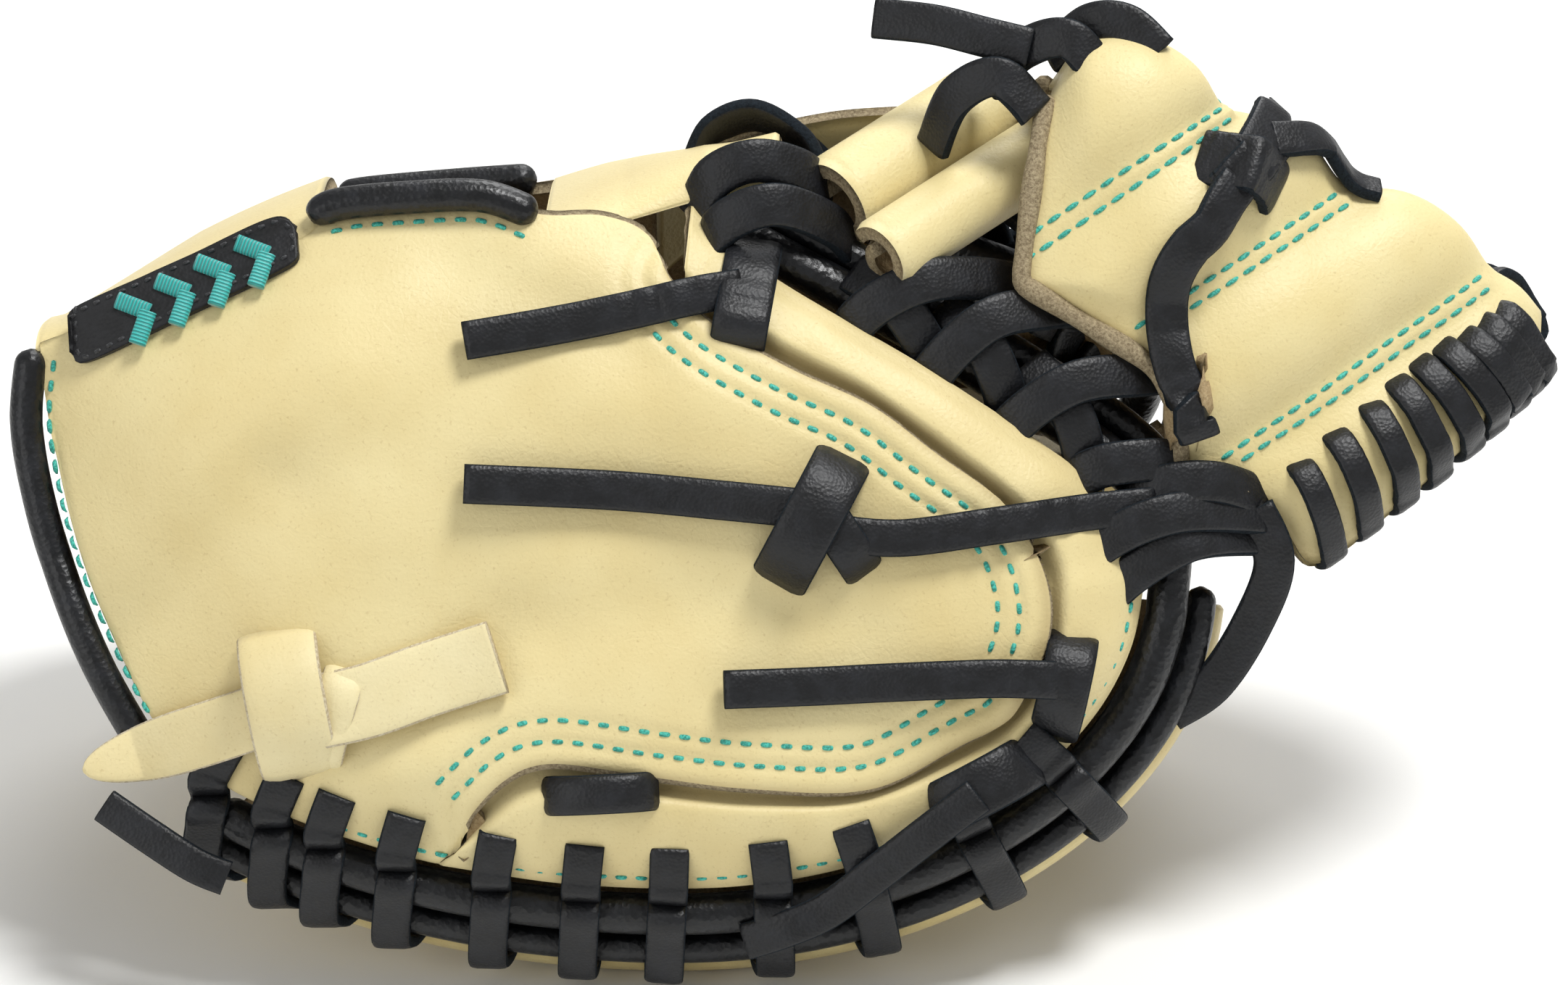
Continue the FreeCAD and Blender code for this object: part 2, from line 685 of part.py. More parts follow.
def web_strip(points, width, thick):
    """Lace lying on the thumb side of the web along (t, w) points."""
    outer, inner = [], []
    for k in range(7):
        t, w = curve(points, k / 6)
        ahead, back = curve(points, min(k / 6 + 0.05, 1)), curve(points, max(k / 6 - 0.05, 0))
        run = web_point(*ahead) - web_point(*back)
        normal = (web_point(t + 0.02, w) - web_point(t - 0.02, w)).cross(
            web_point(t, w + 0.02) - web_point(t, w - 0.02)).normalize()
        if normal.y > 0:
            normal = -normal
        side_step = run.cross(normal).normalize()
        base = web_point(t, w) + normal * WEB_LACE_LIFT
        outer.append([base + side_step * (width * (j / 3 - 0.5)) + normal * thick
                      for j in range(4)])
        inner.append([base + side_step * (width * (j / 3 - 0.5)) for j in range(4)])
    return skin(outer, inner)


feature("web_back", web_panel(0.0, LEATHER))
feature("web_front", web_panel(LEATHER + 1.0, LEATHER))
feature("web_edge_lace", Part.makeCompound(
    [web_strip([[0.70 + 0.033 * k, 0.03], [0.70 + 0.033 * k, 0.13]], 4.6, 2.0)
     for k in range(8)]))
feature("web_knot_lace", Part.makeCompound([web_strip([[0.30, 0.16], [0.34, 0.29]], 5.5, 2.0),
                                            web_strip([[0.36, 0.33], [0.42, 0.44]], 5.5, 2.0)]))


BASE_ROLL_START = (10.0, 4.5, 134.5)
CURL_ROLL_START = (12.0, -11.6, 131.0)
ROLL_TURN = 60.0


def web_roll(label, start, radius):
    """Rolled leather tube at the foot of the web."""
    outside = doc.addObject("Part::Cylinder", label + "_outside")
    outside.setExpression("Radius", "Sizes." + radius)
    outside.setExpression("Height", "Sizes.web_roll_length")
    inside = doc.addObject("Part::Cylinder", label + "_inside")
    inside.setExpression("Radius", f"Sizes.{radius} - Sizes.web_roll_wall")
    inside.setExpression("Height", "Sizes.web_roll_length + 2")
    inside.Placement.Base = FreeCAD.Vector(0, 0, -1)
    roll = doc.addObject("Part::Cut", label)
    roll.Label = label
    roll.Base = outside
    roll.Tool = inside
    turn = FreeCAD.Rotation(FreeCAD.Vector(0, 1, 0), ROLL_TURN)
    roll.Placement = FreeCAD.Placement(FreeCAD.Vector(*start), turn)
    NODES.append(roll)


web_roll("web_base_roll", BASE_ROLL_START, "web_roll_radius")
web_roll("web_curl_roll", CURL_ROLL_START, "web_curl_radius")


# ---------- checks and files ----------

doc.recompute()
for item in doc.Objects:
    if "Invalid" in item.State or "Error" in item.State:
        raise RuntimeError(f"{item.Label} failed: {item.State}")
for node in NODES:
    if node.Shape.isNull() or not node.Shape.isValid():
        raise RuntimeError(f"{node.Label} has no valid shape")
os.makedirs("parts", exist_ok=True)
for node in NODES:
    node.Shape.exportStep(f"parts/{node.Label}.step")
    box = node.Shape.BoundBox
    print(node.Label, round(node.Shape.Volume), len(node.Shape.Solids),
          [round(v, 1) for v in (box.XMin, box.XMax, box.YMin, box.YMax, box.ZMin, box.ZMax)])
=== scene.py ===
import math
import bpy
import numpy as np
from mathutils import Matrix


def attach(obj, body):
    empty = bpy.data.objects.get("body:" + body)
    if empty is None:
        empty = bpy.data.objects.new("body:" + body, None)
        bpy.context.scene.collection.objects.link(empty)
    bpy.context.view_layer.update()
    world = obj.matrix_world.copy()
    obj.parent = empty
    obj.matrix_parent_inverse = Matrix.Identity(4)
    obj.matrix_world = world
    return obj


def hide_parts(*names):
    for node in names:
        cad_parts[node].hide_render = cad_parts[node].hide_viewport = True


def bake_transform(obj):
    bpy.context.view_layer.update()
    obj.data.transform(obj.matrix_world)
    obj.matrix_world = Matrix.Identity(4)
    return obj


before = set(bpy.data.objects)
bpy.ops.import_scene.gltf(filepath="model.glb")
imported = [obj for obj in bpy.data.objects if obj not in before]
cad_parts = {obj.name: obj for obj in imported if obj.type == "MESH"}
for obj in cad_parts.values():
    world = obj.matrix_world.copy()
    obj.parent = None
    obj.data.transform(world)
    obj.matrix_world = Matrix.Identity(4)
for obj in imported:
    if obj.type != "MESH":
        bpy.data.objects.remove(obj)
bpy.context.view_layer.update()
print("frame loaded,", len(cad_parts), "nodes")

mm = 0.001
thumb, finger = -1, 1
bodyOf = {thumb: "thumb_half", finger: "finger_half"}
rng = np.random.default_rng(7)

# driving sizes of the mitt, millimetres and degrees
mitt = {"slope": 62.0, "crease": 150.0, "rimCentre": -20.0, "tipReach": 104.0, "wristReach": 131.0,
        "rimDepth": 75.0, "crown": 25.0, "edge": 8.0, "roll": 38.0, "palm": 15.0, "pocket": 16.0,
        "rest": 4.9, "weltRadius": 3.9, "palmWeltRadius": 3.0, "laceWidth": 6.4,
        "laceThick": 2.6, "wristCorner": math.acos(-0.76)}
slope = math.radians(mitt["slope"])
crease = mitt["crease"]
weltInset = mitt["weltRadius"] + 8.0
panelInset = weltInset + mitt["weltRadius"] + 0.6


# shape of a half: x along the mitt, rise up the slope, level outward from its plane

def place(side, x, rise, level):
    # slanted plane through the crease line, turned by the slope angle, to metres
    x, rise, level = np.broadcast_arrays(np.asarray(x, float), rise, level)
    across = (crease - rise) * math.cos(slope) + level * math.sin(slope)
    height = rise * math.sin(slope) + level * math.cos(slope) + mitt["rest"]
    return np.stack([x, side * across, height], -1) * mm


def outward(side):
    return np.array([0.0, side * math.sin(slope), math.cos(slope)])


def spline(points, share):
    # Catmull-Rom curve through the points, share 0..1 as an array
    points = np.asarray(points, float)
    last = len(points) - 1
    spot = np.clip(np.asarray(share, float), 0, 1) * last
    index = np.minimum(spot.astype(int), last - 1)
    t = (spot - index)[..., None]
    before, start = points[np.maximum(index - 1, 0)], points[index]
    end, after = points[index + 1], points[np.minimum(index + 2, last)]
    return ((2 * t ** 3 - 3 * t ** 2 + 1) * start + (t ** 3 - 2 * t ** 2 + t) * (end - before) / 2
            + (3 * t ** 2 - 2 * t ** 3) * end + (t ** 3 - t ** 2) * (after - start) / 2)


def evenly(points, count):
    # the curve through the points, resampled at equal steps of its length
    dense = spline(points, np.linspace(0, 1, 24 * len(points)))
    run = np.r_[0, np.cumsum(np.linalg.norm(np.diff(dense, axis=0), axis=1))]
    spots = np.linspace(0.0, 1.0, count) * run[-1]
    return np.stack([np.interp(spots, run, dense[:, k]) for k in range(dense.shape[1])], -1)


def smooth(value):
    t = np.clip(value, 0, 1)
    return t * t * (3 - 2 * t)


def rounded(distance, length):
    # 0 at an edge, rising ever more gently to 1 at the given length
    return 1 - (1 - np.clip(distance / length, 0, 1)) ** 2


def rimPoint(share, inset=0.0):
    # ellipse of the rim, from the wrist corner (0) past the bottom to the tip (1)
    angle = mitt["wristCorner"] * (1 - np.asarray(share, float))
    reach = np.where(angle < math.pi / 2, mitt["tipReach"], mitt["wristReach"]) - inset
    return np.stack([mitt["rimCentre"] + reach * np.cos(angle),
                     mitt["rimDepth"] - (mitt["rimDepth"] - inset) * np.sin(angle)], -1)


def backLevel(x, rise):
    # level of the back leather: rolls up from the welt, down to the slanted edge and the ridge
    x, rise = np.broadcast_arrays(np.asarray(x, float), np.asarray(rise, float))
    reach = np.where(x > mitt["rimCentre"], mitt["tipReach"], mitt["wristReach"])
    along = (x - mitt["rimCentre"]) / reach
    up = np.maximum((mitt["rimDepth"] - rise) / mitt["rimDepth"], 0)
    rim = (1 - np.hypot(along, up)) * mitt["rimDepth"] * (1 + 0.5 * np.abs(along))
    slant = ((75 - x) * 50 + (crease - 62 - rise) * 79) / 93.5
    ridge = crease - 5 - np.where(x < -55, 25 * rounded(-55 - x, 120.0) ** 2, 0)
    body = rounded(rim - weltInset, mitt["roll"])
    body = body * (0.35 + 0.65 * rounded(slant + 2, 30.0))
    body = body * (0.25 + 0.75 * rounded(ridge - rise + 2, 42.0))
    body = body * (0.72 + 0.28 * rounded(x + 146, 60.0))
    return mitt["edge"] + (mitt["crown"] - mitt["edge"]) * body


def nearest(x, rise, curve):
    # distance of every grid point from a sampled curve
    spots = np.stack([np.ravel(x), np.ravel(rise)], -1)
    best = np.full(len(spots), 1e9)
    for chunk in np.array_split(curve, max(1, len(curve) // 40)):
        gap = np.linalg.norm(spots[:, None] - chunk[None], axis=2).min(1)
        best = np.minimum(best, gap)
    return best.reshape(np.shape(x))


def offset(curve, distance):
    # the curve moved sideways, to the left of its run
    run = np.gradient(curve, axis=0)
    run /= np.linalg.norm(run, axis=1, keepdims=True)
    return curve + distance * np.stack([-run[:, 1], run[:, 0]], -1)


# meshes

def gridFaces(rows, columns, closed=False):
    # quads of a grid of points, its columns closed into rings if asked
    i, j = np.meshgrid(np.arange(rows - 1), np.arange(columns if closed else columns - 1),
                       indexing="ij")
    nxt = (j + 1) % columns
    return np.stack([i * columns + j, (i + 1) * columns + j, (i + 1) * columns + nxt,
                     i * columns + nxt], -1).reshape(-1, 4)


def makePiece(name, verts, faces, materials, slots=None, attributes=None):
    # one mesh object from arrays; slots gives each face's material, attributes a value per point
    mesh = bpy.data.meshes.new(name)
    verts = np.asarray(verts, float).reshape(-1, 3)
    mesh.from_pydata(verts.tolist(), [], [list(map(int, face)) for face in faces])
    for material in materials:
        mesh.materials.append(material)
    if slots is not None:
        mesh.polygons.foreach_set("material_index", np.asarray(slots, np.int32))
    mesh.polygons.foreach_set("use_smooth", np.ones(len(mesh.polygons), bool))
    for key, values in (attributes or {}).items():
        layer = mesh.attributes.new(key, "FLOAT", "POINT")
        layer.data.foreach_set("value", np.asarray(values, np.float32).ravel())
    mesh.update()
    piece = bpy.data.objects.new(name, mesh)
    bpy.context.collection.objects.link(piece)
    return piece


class Bundle:
    # collects many small shapes into one mesh
    def __init__(self):
        self.verts, self.faces, self.slots, self.values, self.count = [], [], [], [], 0

    def add(self, verts, faces, slots=None, values=None):
        verts = np.asarray(verts, float).reshape(-1, 3)
        self.verts.append(verts)
        self.faces += [[int(k) + self.count for k in face] for face in faces]
        self.slots += list(slots) if slots is not None else [0] * len(faces)
        self.values.append(np.zeros(len(verts)) if values is None else np.ravel(values))
        self.count += len(verts)

    def piece(self, name, materials):
        return makePiece(name, np.concatenate(self.verts), self.faces, materials, self.slots,
                         {"wear": np.concatenate(self.values)})


def gridNormals(grid, towards):
    along, across = np.gradient(grid, axis=0), np.gradient(grid, axis=1)
    normal = np.cross(along, across)
    normal /= np.maximum(np.linalg.norm(normal, axis=2, keepdims=True), 1e-12)
    flip = np.sign((normal * towards).sum(2, keepdims=True).mean())
    return normal * flip, flip


def slab(grid, towards, thick, wear=None, raw=None):
    # leather sheet: outer grid with rounded rim, inner grid one thickness below, raw edge between;
    # raw(x) says where the outermost ring of faces is raw edge too
    rows, columns = grid.shape[:2]
    normal, flip = gridNormals(grid, towards)
    outer = grid.copy()
    rim = np.zeros((rows, columns), bool)
    rim[[0, -1], :] = True
    rim[:, [0, -1]] = True
    outer[rim] -= normal[rim] * thick * 0.22
    inner = grid - normal * thick
    faces = gridFaces(rows, columns)
    if flip < 0:
        faces = faces[:, ::-1]
    count = rows * columns
    index = np.arange(count).reshape(rows, columns)
    loop = np.r_[index[0, :-1], index[:-1, -1], index[-1, :0:-1], index[:0:-1, 0]]
    centre = grid.reshape(-1, 3).mean(0)
    bulge = outer.reshape(-1, 3)[loop] - normal.reshape(-1, 3)[loop] * thick * 0.4
    away = bulge - centre
    away /= np.linalg.norm(away, axis=1, keepdims=True)
    bulge += away * thick * 0.07
    verts = np.concatenate([outer.reshape(-1, 3), inner.reshape(-1, 3), bulge])
    mid = np.arange(len(loop)) + 2 * count
    nxt = np.roll(np.arange(len(loop)), -1)
    upper = np.stack([loop, mid, mid[nxt], loop[nxt]], -1)
    lower = np.stack([mid, loop + count, loop[nxt] + count, mid[nxt]], -1)
    sides = np.concatenate([upper, lower])
    if flip < 0:
        sides = sides[:, ::-1]
    faces = np.concatenate([faces, faces[:, ::-1] + count, sides])
    slots = np.r_[np.zeros((rows - 1) * (columns - 1)), np.full((rows - 1) * (columns - 1), 2),
                  np.ones(len(sides))].astype(int)
    if raw is not None:
        ring = np.zeros((rows - 1, columns - 1), bool)
        ring[[0, -1], :] = True
        ring[:, [0, -1]] = True
        ring &= raw(grid[:-1, :-1, 0] / mm)
        slots[:ring.size][ring.ravel()] = 1
    wear = np.zeros((rows, columns)) if wear is None else wear
    values = np.concatenate([wear.ravel(), wear.ravel(), wear.ravel()[loop]])
    return verts, faces, slots, values


def leatherSheet(name, grid, towards, thick, materials, wear=None, raw=None):
    verts, faces, slots, values = slab(grid, towards, thick * mm, wear, raw)
    return makePiece(name, verts, faces, materials, slots, {"wear": values})


def frames(path, up):
    # tangent, side and up vectors along a path, up kept near the given direction
    tangent = np.gradient(path, axis=0)
    tangent /= np.maximum(np.linalg.norm(tangent, axis=1, keepdims=True), 1e-12)
    up = np.broadcast_to(np.asarray(up, float), path.shape)
    side = np.cross(tangent, up)
    side /= np.maximum(np.linalg.norm(side, axis=1, keepdims=True), 1e-12)
    return tangent, side, np.cross(side, tangent)


laceRound = 16


def laceBody(path, up, width, thick, taper=None, dome=0.12):
    # flat lace: rounded rectangle carried along the path; cut sides take material 1
    angle = (np.arange(laceRound) + 0.5) * 2 * math.pi / laceRound
    c, s = np.cos(angle), np.sin(angle)
    flat = np.sign(c) * np.abs(c) ** 0.35 * width / 2
    tall = np.sign(s) * np.abs(s) ** 0.45 * thick / 2 * (1 + dome * (1 - np.abs(c)))
    _, side, top = frames(path, up)
    scale = np.ones(len(path)) if taper is None else taper
    rings = (path[:, None] + side[:, None] * (flat[None, :, None] * scale[:, None, None])
             + top[:, None] * tall[None, :, None])
    rows = len(path)
    faces = [list(f) for f in gridFaces(rows, laceRound, True)]
    edge = np.abs(c) > 0.80
    slots = [int(edge[k % laceRound] and edge[(k + 1) % laceRound])
             for k in range((rows - 1) * laceRound)]
    faces += [list(range(laceRound)), list(range((rows - 1) * laceRound, rows * laceRound))[::-1]]
    return rings.reshape(-1, 3), faces, slots + [1, 1]


def rollBody(path, radius, sides=18):
    # round roll carried along the path, its ends closed by shrinking rings
    _, side, top = frames(path, [0.05, 0.1, 1.0])
    angle = np.arange(sides) * 2 * math.pi / sides
    ring = side[:, None] * np.cos(angle)[None, :, None] + top[:, None] * np.sin(angle)[None, :, None]
    size = np.full(len(path), radius) if np.isscalar(radius) else np.asarray(radius)
    verts = path[:, None] + ring * size[:, None, None]
    faces = [list(f) for f in gridFaces(len(path), sides, True)]
    last = (len(path) - 1) * sides
    faces += [list(range(sides)), list(range(last, last + sides))[::-1]]
    return verts.reshape(-1, 3), faces


def roundEnds(path, radius):
    # radius along a roll that closes to a dome at both ends
    size = np.full(len(path), radius)
    run = np.r_[0, np.cumsum(np.linalg.norm(np.diff(path, axis=0), axis=1))]
    end = np.minimum(run, run[-1] - run)
    near = end < radius
    size[near] = radius * np.sqrt(np.maximum(1 - (1 - end[near] / radius) ** 2, 0.02))
    return size


# materials

class Sock:
    # a shader socket that takes part in Python arithmetic
    def __init__(self, graph, socket):
        self.graph, self.socket = graph, socket

    def maths(self, operation, first, second):
        return self.graph.node("ShaderNodeMath", {"operation": operation}, {0: first, 1: second})

    def __add__(self, other):
        return self.maths("ADD", self, other)

    __radd__ = __add__

    def __mul__(self, other):
        return self.maths("MULTIPLY", self, other)

    __rmul__ = __mul__

    def __sub__(self, other):
        return self.maths("SUBTRACT", self, other)

    def __rsub__(self, other):
        return self.maths("SUBTRACT", other, self)


class Graph:
    # a material and one method that adds any node to it
    def __init__(self, name):
        self.material = bpy.data.materials.new(name)
        self.material.use_nodes = True
        self.tree = self.material.node_tree
        self.tree.nodes.clear()

    def node(self, kind, settings=None, inputs=None, out=0):
        made = self.tree.nodes.new(kind)
        for key, value in (settings or {}).items():
            if key == "stops":
                ramp = made.color_ramp.elements
                while len(ramp) < len(value):
                    ramp.new(0.5)
                for element, (spot, colour) in zip(ramp, value):
                    element.position = spot
                    element.color = colour
            else:
                setattr(made, key, value)
        for key, value in (inputs or {}).items():
            if isinstance(value, Sock):
                self.tree.links.new(value.socket, made.inputs[key])
            else:
                made.inputs[key].default_value = value
        self.made = made
        return Sock(self, made.outputs[out])

    def coords(self):
        return self.node("ShaderNodeTexCoord", out=3)

    def noise(self, scale, detail=3.0, rough=0.55):
        return self.node("ShaderNodeTexNoise", None,
                         {"Vector": self.coords(), "Scale": scale, "Detail": detail,
                          "Roughness": rough})

    def cells(self, scale, feature="F1", vector=None):
        return self.node("ShaderNodeTexVoronoi", {"feature": feature},
                         {"Vector": vector or self.coords(), "Scale": scale})

    def value(self, name):
        return self.node("ShaderNodeAttribute", {"attribute_name": name}, out=2)

    def ramp(self, factor, stops):
        return self.node("ShaderNodeValToRGB", {"stops": stops}, {0: factor})

    def mix(self, factor, first, second):
        return self.node("ShaderNodeMix", {"data_type": "RGBA"},
                         {0: factor, 6: first, 7: second}, out=2)

    def bump(self, height, strength, distance):
        return self.node("ShaderNodeBump", None, {"Strength": strength, "Distance": distance,
                                                  "Height": height})

    def finish(self, colour, roughness, normal=None, extra=None):
        inputs = {"Base Color": colour, "Roughness": roughness}
        if normal is not None:
            inputs["Normal"] = normal
        inputs.update(extra or {})
        shader = self.node("ShaderNodeBsdfPrincipled", None, inputs)
        output = self.tree.nodes.new("ShaderNodeOutputMaterial")
        self.tree.links.new(shader.socket, output.inputs[0])
        return self.material


def rgb(code):
    # colour from its web code, to linear light
    parts = [int(code[k:k + 2], 16) / 255 for k in (0, 2, 4)]
    return tuple(p / 12.92 if p <= 0.04045 else ((p + 0.055) / 1.055) ** 2.4
                 for p in parts) + (1.0,)


def paleLeather(name, light, dark, gloss=0.46):
    # smooth blond leather: soft clouds of tone, pores, fine creases, darker where worn and where painted
    # shade is set in the same point value
    g = Graph(name)
    clouds = g.noise(26.0, 4.0, 0.6)
    tone = g.mix(g.ramp(clouds, [(0.32, (0, 0, 0, 1)), (0.72, (1, 1, 1, 1))]), dark, light)
    specks = g.noise(1500.0, 2.0)
    tone = g.mix(g.ramp(specks, [(0.60, (0, 0, 0, 1)), (0.78, (0.30, 0.30, 0.30, 1))]), tone,
                 rgb("A88A58"))
    # darker by the point value: real wear along edges, painted shade on the tucked rim leather and low on
    # the outer panel
    tone = g.mix(g.value("wear") * 0.75, tone, rgb("8F7548"))
    grain = g.cells(1250.0)
    pores = g.noise(2600.0, 2.0)
    creases = g.cells(210.0, "DISTANCE_TO_EDGE", g.mix(0.012, g.coords(), g.noise(60.0, 3.0)))
    lines = g.ramp(creases, [(0.0, (0, 0, 0, 1)), (0.05, (1, 1, 1, 1))])
    height = grain * 0.45 + pores * 0.35 + lines * 0.16 + clouds * 0.6
    return g.finish(tone, specks * 0.14 + (gloss - 0.05), g.bump(height, 0.32, 0.00035),
                    {"Specular IOR Level": 0.42, "Sheen Weight": 0.10, "Sheen Roughness": 0.5})


def rawEdge(name, light, dark):
    # cut edge of leather: fibres and dusty colour
    g = Graph(name)
    fibres = g.noise(1700.0, 4.0, 0.7)
    tone = g.mix(g.ramp(fibres, [(0.35, (0, 0, 0, 1)), (0.68, (1, 1, 1, 1))]), dark, light)
    return g.finish(tone, 0.92, g.bump(fibres, 0.8, 0.0005), {"Specular IOR Level": 0.2})


def darkLeather(name, light, dark, gloss, grainSize, depth):
    # dyed leather: pebbled grain, scuffed lighter on the high spots
    g = Graph(name)
    grain = g.cells(grainSize)
    scuff = g.noise(240.0, 5.0, 0.65)
    fine = g.noise(3200.0, 2.0)
    tone = g.mix(g.ramp(scuff, [(0.42, (0, 0, 0, 1)), (0.80, (1, 1, 1, 1))]), dark, light)
    height = grain * 0.8 + fine * 0.25 + scuff * 0.25
    return g.finish(tone, scuff * 0.20 + (gloss - 0.10), g.bump(height, depth, 0.0004),
                    {"Specular IOR Level": 0.45})


def threadSkin(name, light, dark):
    # waxed thread: two tones and a fine twist
    g = Graph(name)
    twist = g.noise(2400.0, 2.0)
    tone = g.mix(g.ramp(twist, [(0.38, (0, 0, 0, 1)), (0.62, (1, 1, 1, 1))]), dark, light)
    return g.finish(tone, 0.5, g.bump(twist, 0.6, 0.0003), {"Sheen Weight": 0.2})


def satinThread(name, light, dark):
    # satin stitch: fine strands side by side, taken from the piece's own strand value; painted highlight on
    # each strand's crest and painted shade in the grooves between strands
    g = Graph(name)
    strand = g.node("ShaderNodeMath", {"operation": "SINE"}, {0: g.value("wear")})
    # painted highlight and painted shade: colour follows the same wave as the bump
    tone = g.mix(strand * 0.5 + 0.5, dark, light)
    return g.finish(tone, 0.34, g.bump(strand, 0.7, 0.0003),
                    {"Sheen Weight": 0.35, "Specular IOR Level": 0.6})


def woolFelt(name):
    g = Graph(name)
    fibres = g.noise(900.0, 5.0, 0.75)
    tone = g.mix(fibres, rgb("B9B19B"), rgb("E4DDC8"))
    return g.finish(tone, 0.95, g.bump(fibres, 0.7, 0.0012), {"Sheen Weight": 0.4})


skin = {
    "back": paleLeather("backLeather", rgb("E6D7A2"), rgb("DAC78E")),
    "web": paleLeather("webLeather", rgb("E6D8A4"), rgb("DBC98F")),
    "palm": paleLeather("palmLeather", rgb("E4D49C"), rgb("D0BA7E"), 0.42),
    "strap": paleLeather("strapLeather", rgb("E9DDB0"), rgb("DECD98"), 0.55),
    "suede": rawEdge("suedeBack", rgb("BFA983"), rgb("9C8560")),
    "edge": rawEdge("rawEdge", rgb("B7A888"), rgb("796A52")),
    "strapEdge": rawEdge("strapRawEdge", rgb("E3DAC0"), rgb("B7A584")),
    "welt": darkLeather("blackWelt", rgb("1E2024"), rgb("0A0B0D"), 0.34, 900.0, 0.42),
    "binding": darkLeather("blackBinding", rgb("1E2025"), rgb("0A0B0D"), 0.36, 1100.0, 0.30),
    "badge": darkLeather("badgeLeather", rgb("1F2023"), rgb("0C0C0E"), 0.55, 1300.0, 0.3),
    "lace": darkLeather("blackLace", rgb("1A1C21"), rgb("0A0B0E"), 0.46, 1500.0, 0.28),
    "laceEdge": rawEdge("laceCutEdge", rgb("222A31"), rgb("12171C")),
    "thread": threadSkin("tealThread", rgb("45C4B2"), rgb("1A8577")),
    "blackThread": threadSkin("blackThread", rgb("2A2B2F"), rgb("0B0B0D")),
    "satin": satinThread("tealSatin", rgb("2FC9C1"), rgb("0F9089")),
    "lining": rawEdge("liningSuede", rgb("B29C74"), rgb("8D7751")),
    "felt": woolFelt("woolFelt"),
}
laceSkins = [skin["lace"], skin["laceEdge"]]
backSkins = [skin["back"], skin["edge"], skin["suede"]]
webSkins = [skin["web"], skin["edge"], skin["suede"]]
print("materials made")


def settle(piece, side=None, nodes=(), cross=False):
    # puts a piece on its half, or bakes the transform of a piece that spans the crease, and hides the
    # imported nodes it stands for
    if cross:
        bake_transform(piece)
    else:
        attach(piece, bodyOf[side])
    if nodes:
        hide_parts(*nodes)
    return piece


farSide = np.array([1, -1, 1])  # mirrors points from the thumb half to the finger half
sideName = {thumb: "thumb", finger: "finger"}

# curves drawn on a surface, stitches and laces

def lift(side):
    # the back leather of a half as a surface of x and rise
    return lambda x, rise: place(side, x, rise, backLevel(x, rise))


def normalsOf(surface, flat, sign):
    step = 0.04
    x, y = flat[:, 0], flat[:, 1]
    normal = np.cross(surface(x + step, y) - surface(x - step, y),
                      surface(x, y + step) - surface(x, y - step))
    return sign * normal / np.maximum(np.linalg.norm(normal, axis=1, keepdims=True), 1e-15)


def traced(surface, sign, curve, step):
    # points at equal steps along a curve on a surface, with its normals there
    dense = spline(curve, np.linspace(0, 1, 500))
    run = np.r_[0, np.cumsum(np.linalg.norm(np.diff(surface(*dense.T), axis=0), axis=1))]
    spots = np.linspace(0, run[-1], max(3, int(round(run[-1] / (step * mm))) + 1))
    flat = np.stack([np.interp(spots, run, dense[:, k]) for k in range(2)], -1)
    return surface(*flat.T), normalsOf(surface, flat, sign)


def stitchRow(bundle, surface, sign, curve, pitch=3.8, part=0.74, radius=0.5, sink=0.12):
    # short capsules along a curve, each dipping into the leather at both ends
    path, normal = traced(surface, sign, curve, pitch)
    tangent, side, top = frames(path, normal)
    count, rings, sides = len(path), 6, 6
    t = np.linspace(-1, 1, rings)
    angle = np.arange(sides) * 2 * math.pi / sides
    size = radius * mm * np.sqrt(1 - 0.86 * t ** 4)
    rise = radius * mm * (0.55 - 1.5 * t ** 4) - sink * mm
    along = t * pitch * part / 2 * mm
    turn = rng.normal(0, 0.03, count)
    direct = tangent + side * turn[:, None]
    spine = path[:, None] + direct[:, None] * along[None, :, None] + top[:, None] * rise[None, :, None]
    rim = (side[:, None, None] * np.cos(angle)[None, None, :, None]
           + top[:, None, None] * np.sin(angle)[None, None, :, None] * 0.8)
    verts = spine[:, :, None] + rim * size[None, :, None, None]
    single = [list(f) for f in gridFaces(rings, sides, True)]
    single += [list(range(sides)), list(range((rings - 1) * sides, rings * sides))[::-1]]
    each = rings * sides
    for k in range(count):
        bundle.add(verts[k].reshape(-1, 3), single)


def onHalf(side, points, count=40):
    # path from (x, rise, height above the back leather) points
    flat = evenly(points, count)
    return place(side, flat[:, 0], flat[:, 1], panelLevel(flat[:, 0], flat[:, 1]) + flat[:, 2])


def laceStrip(name, side, points, width=None, count=44, square=False):
    # one lace lying on a half, its tip cut off square or pointed
    path = onHalf(side, points, count)
    taper = np.ones(count)
    if not square:
        taper[-3:] = [0.95, 0.80, 0.35]
    bundle = Bundle()
    bundle.add(*laceBody(path, outward(side), (width or mitt["laceWidth"]) * mm,
                         mitt["laceThick"] * mm, taper))
    return bundle.piece(name, laceSkins)


def bandOver(bundle, side, centre, turn, long, wide, height, base=0.0, thick=2.4):
    # a lace band arching over others: centre, direction in degrees, length, width, rise
    t = np.linspace(-1, 1, 19)
    c, s = math.cos(math.radians(turn)), math.sin(math.radians(turn))
    x = centre[0] + t * long / 2 * c
    rise = centre[1] + t * long / 2 * s
    level = panelLevel(x, rise) + base + height * (1 - np.abs(t) ** 2.6) - 1.6 * np.abs(t) ** 8
    path = place(side, x, rise, level)
    bundle.add(*laceBody(path, outward(side), wide * mm, thick * mm, dome=0.3))


# outer panel: back leather of each half, its raw edge lying on the rim panel

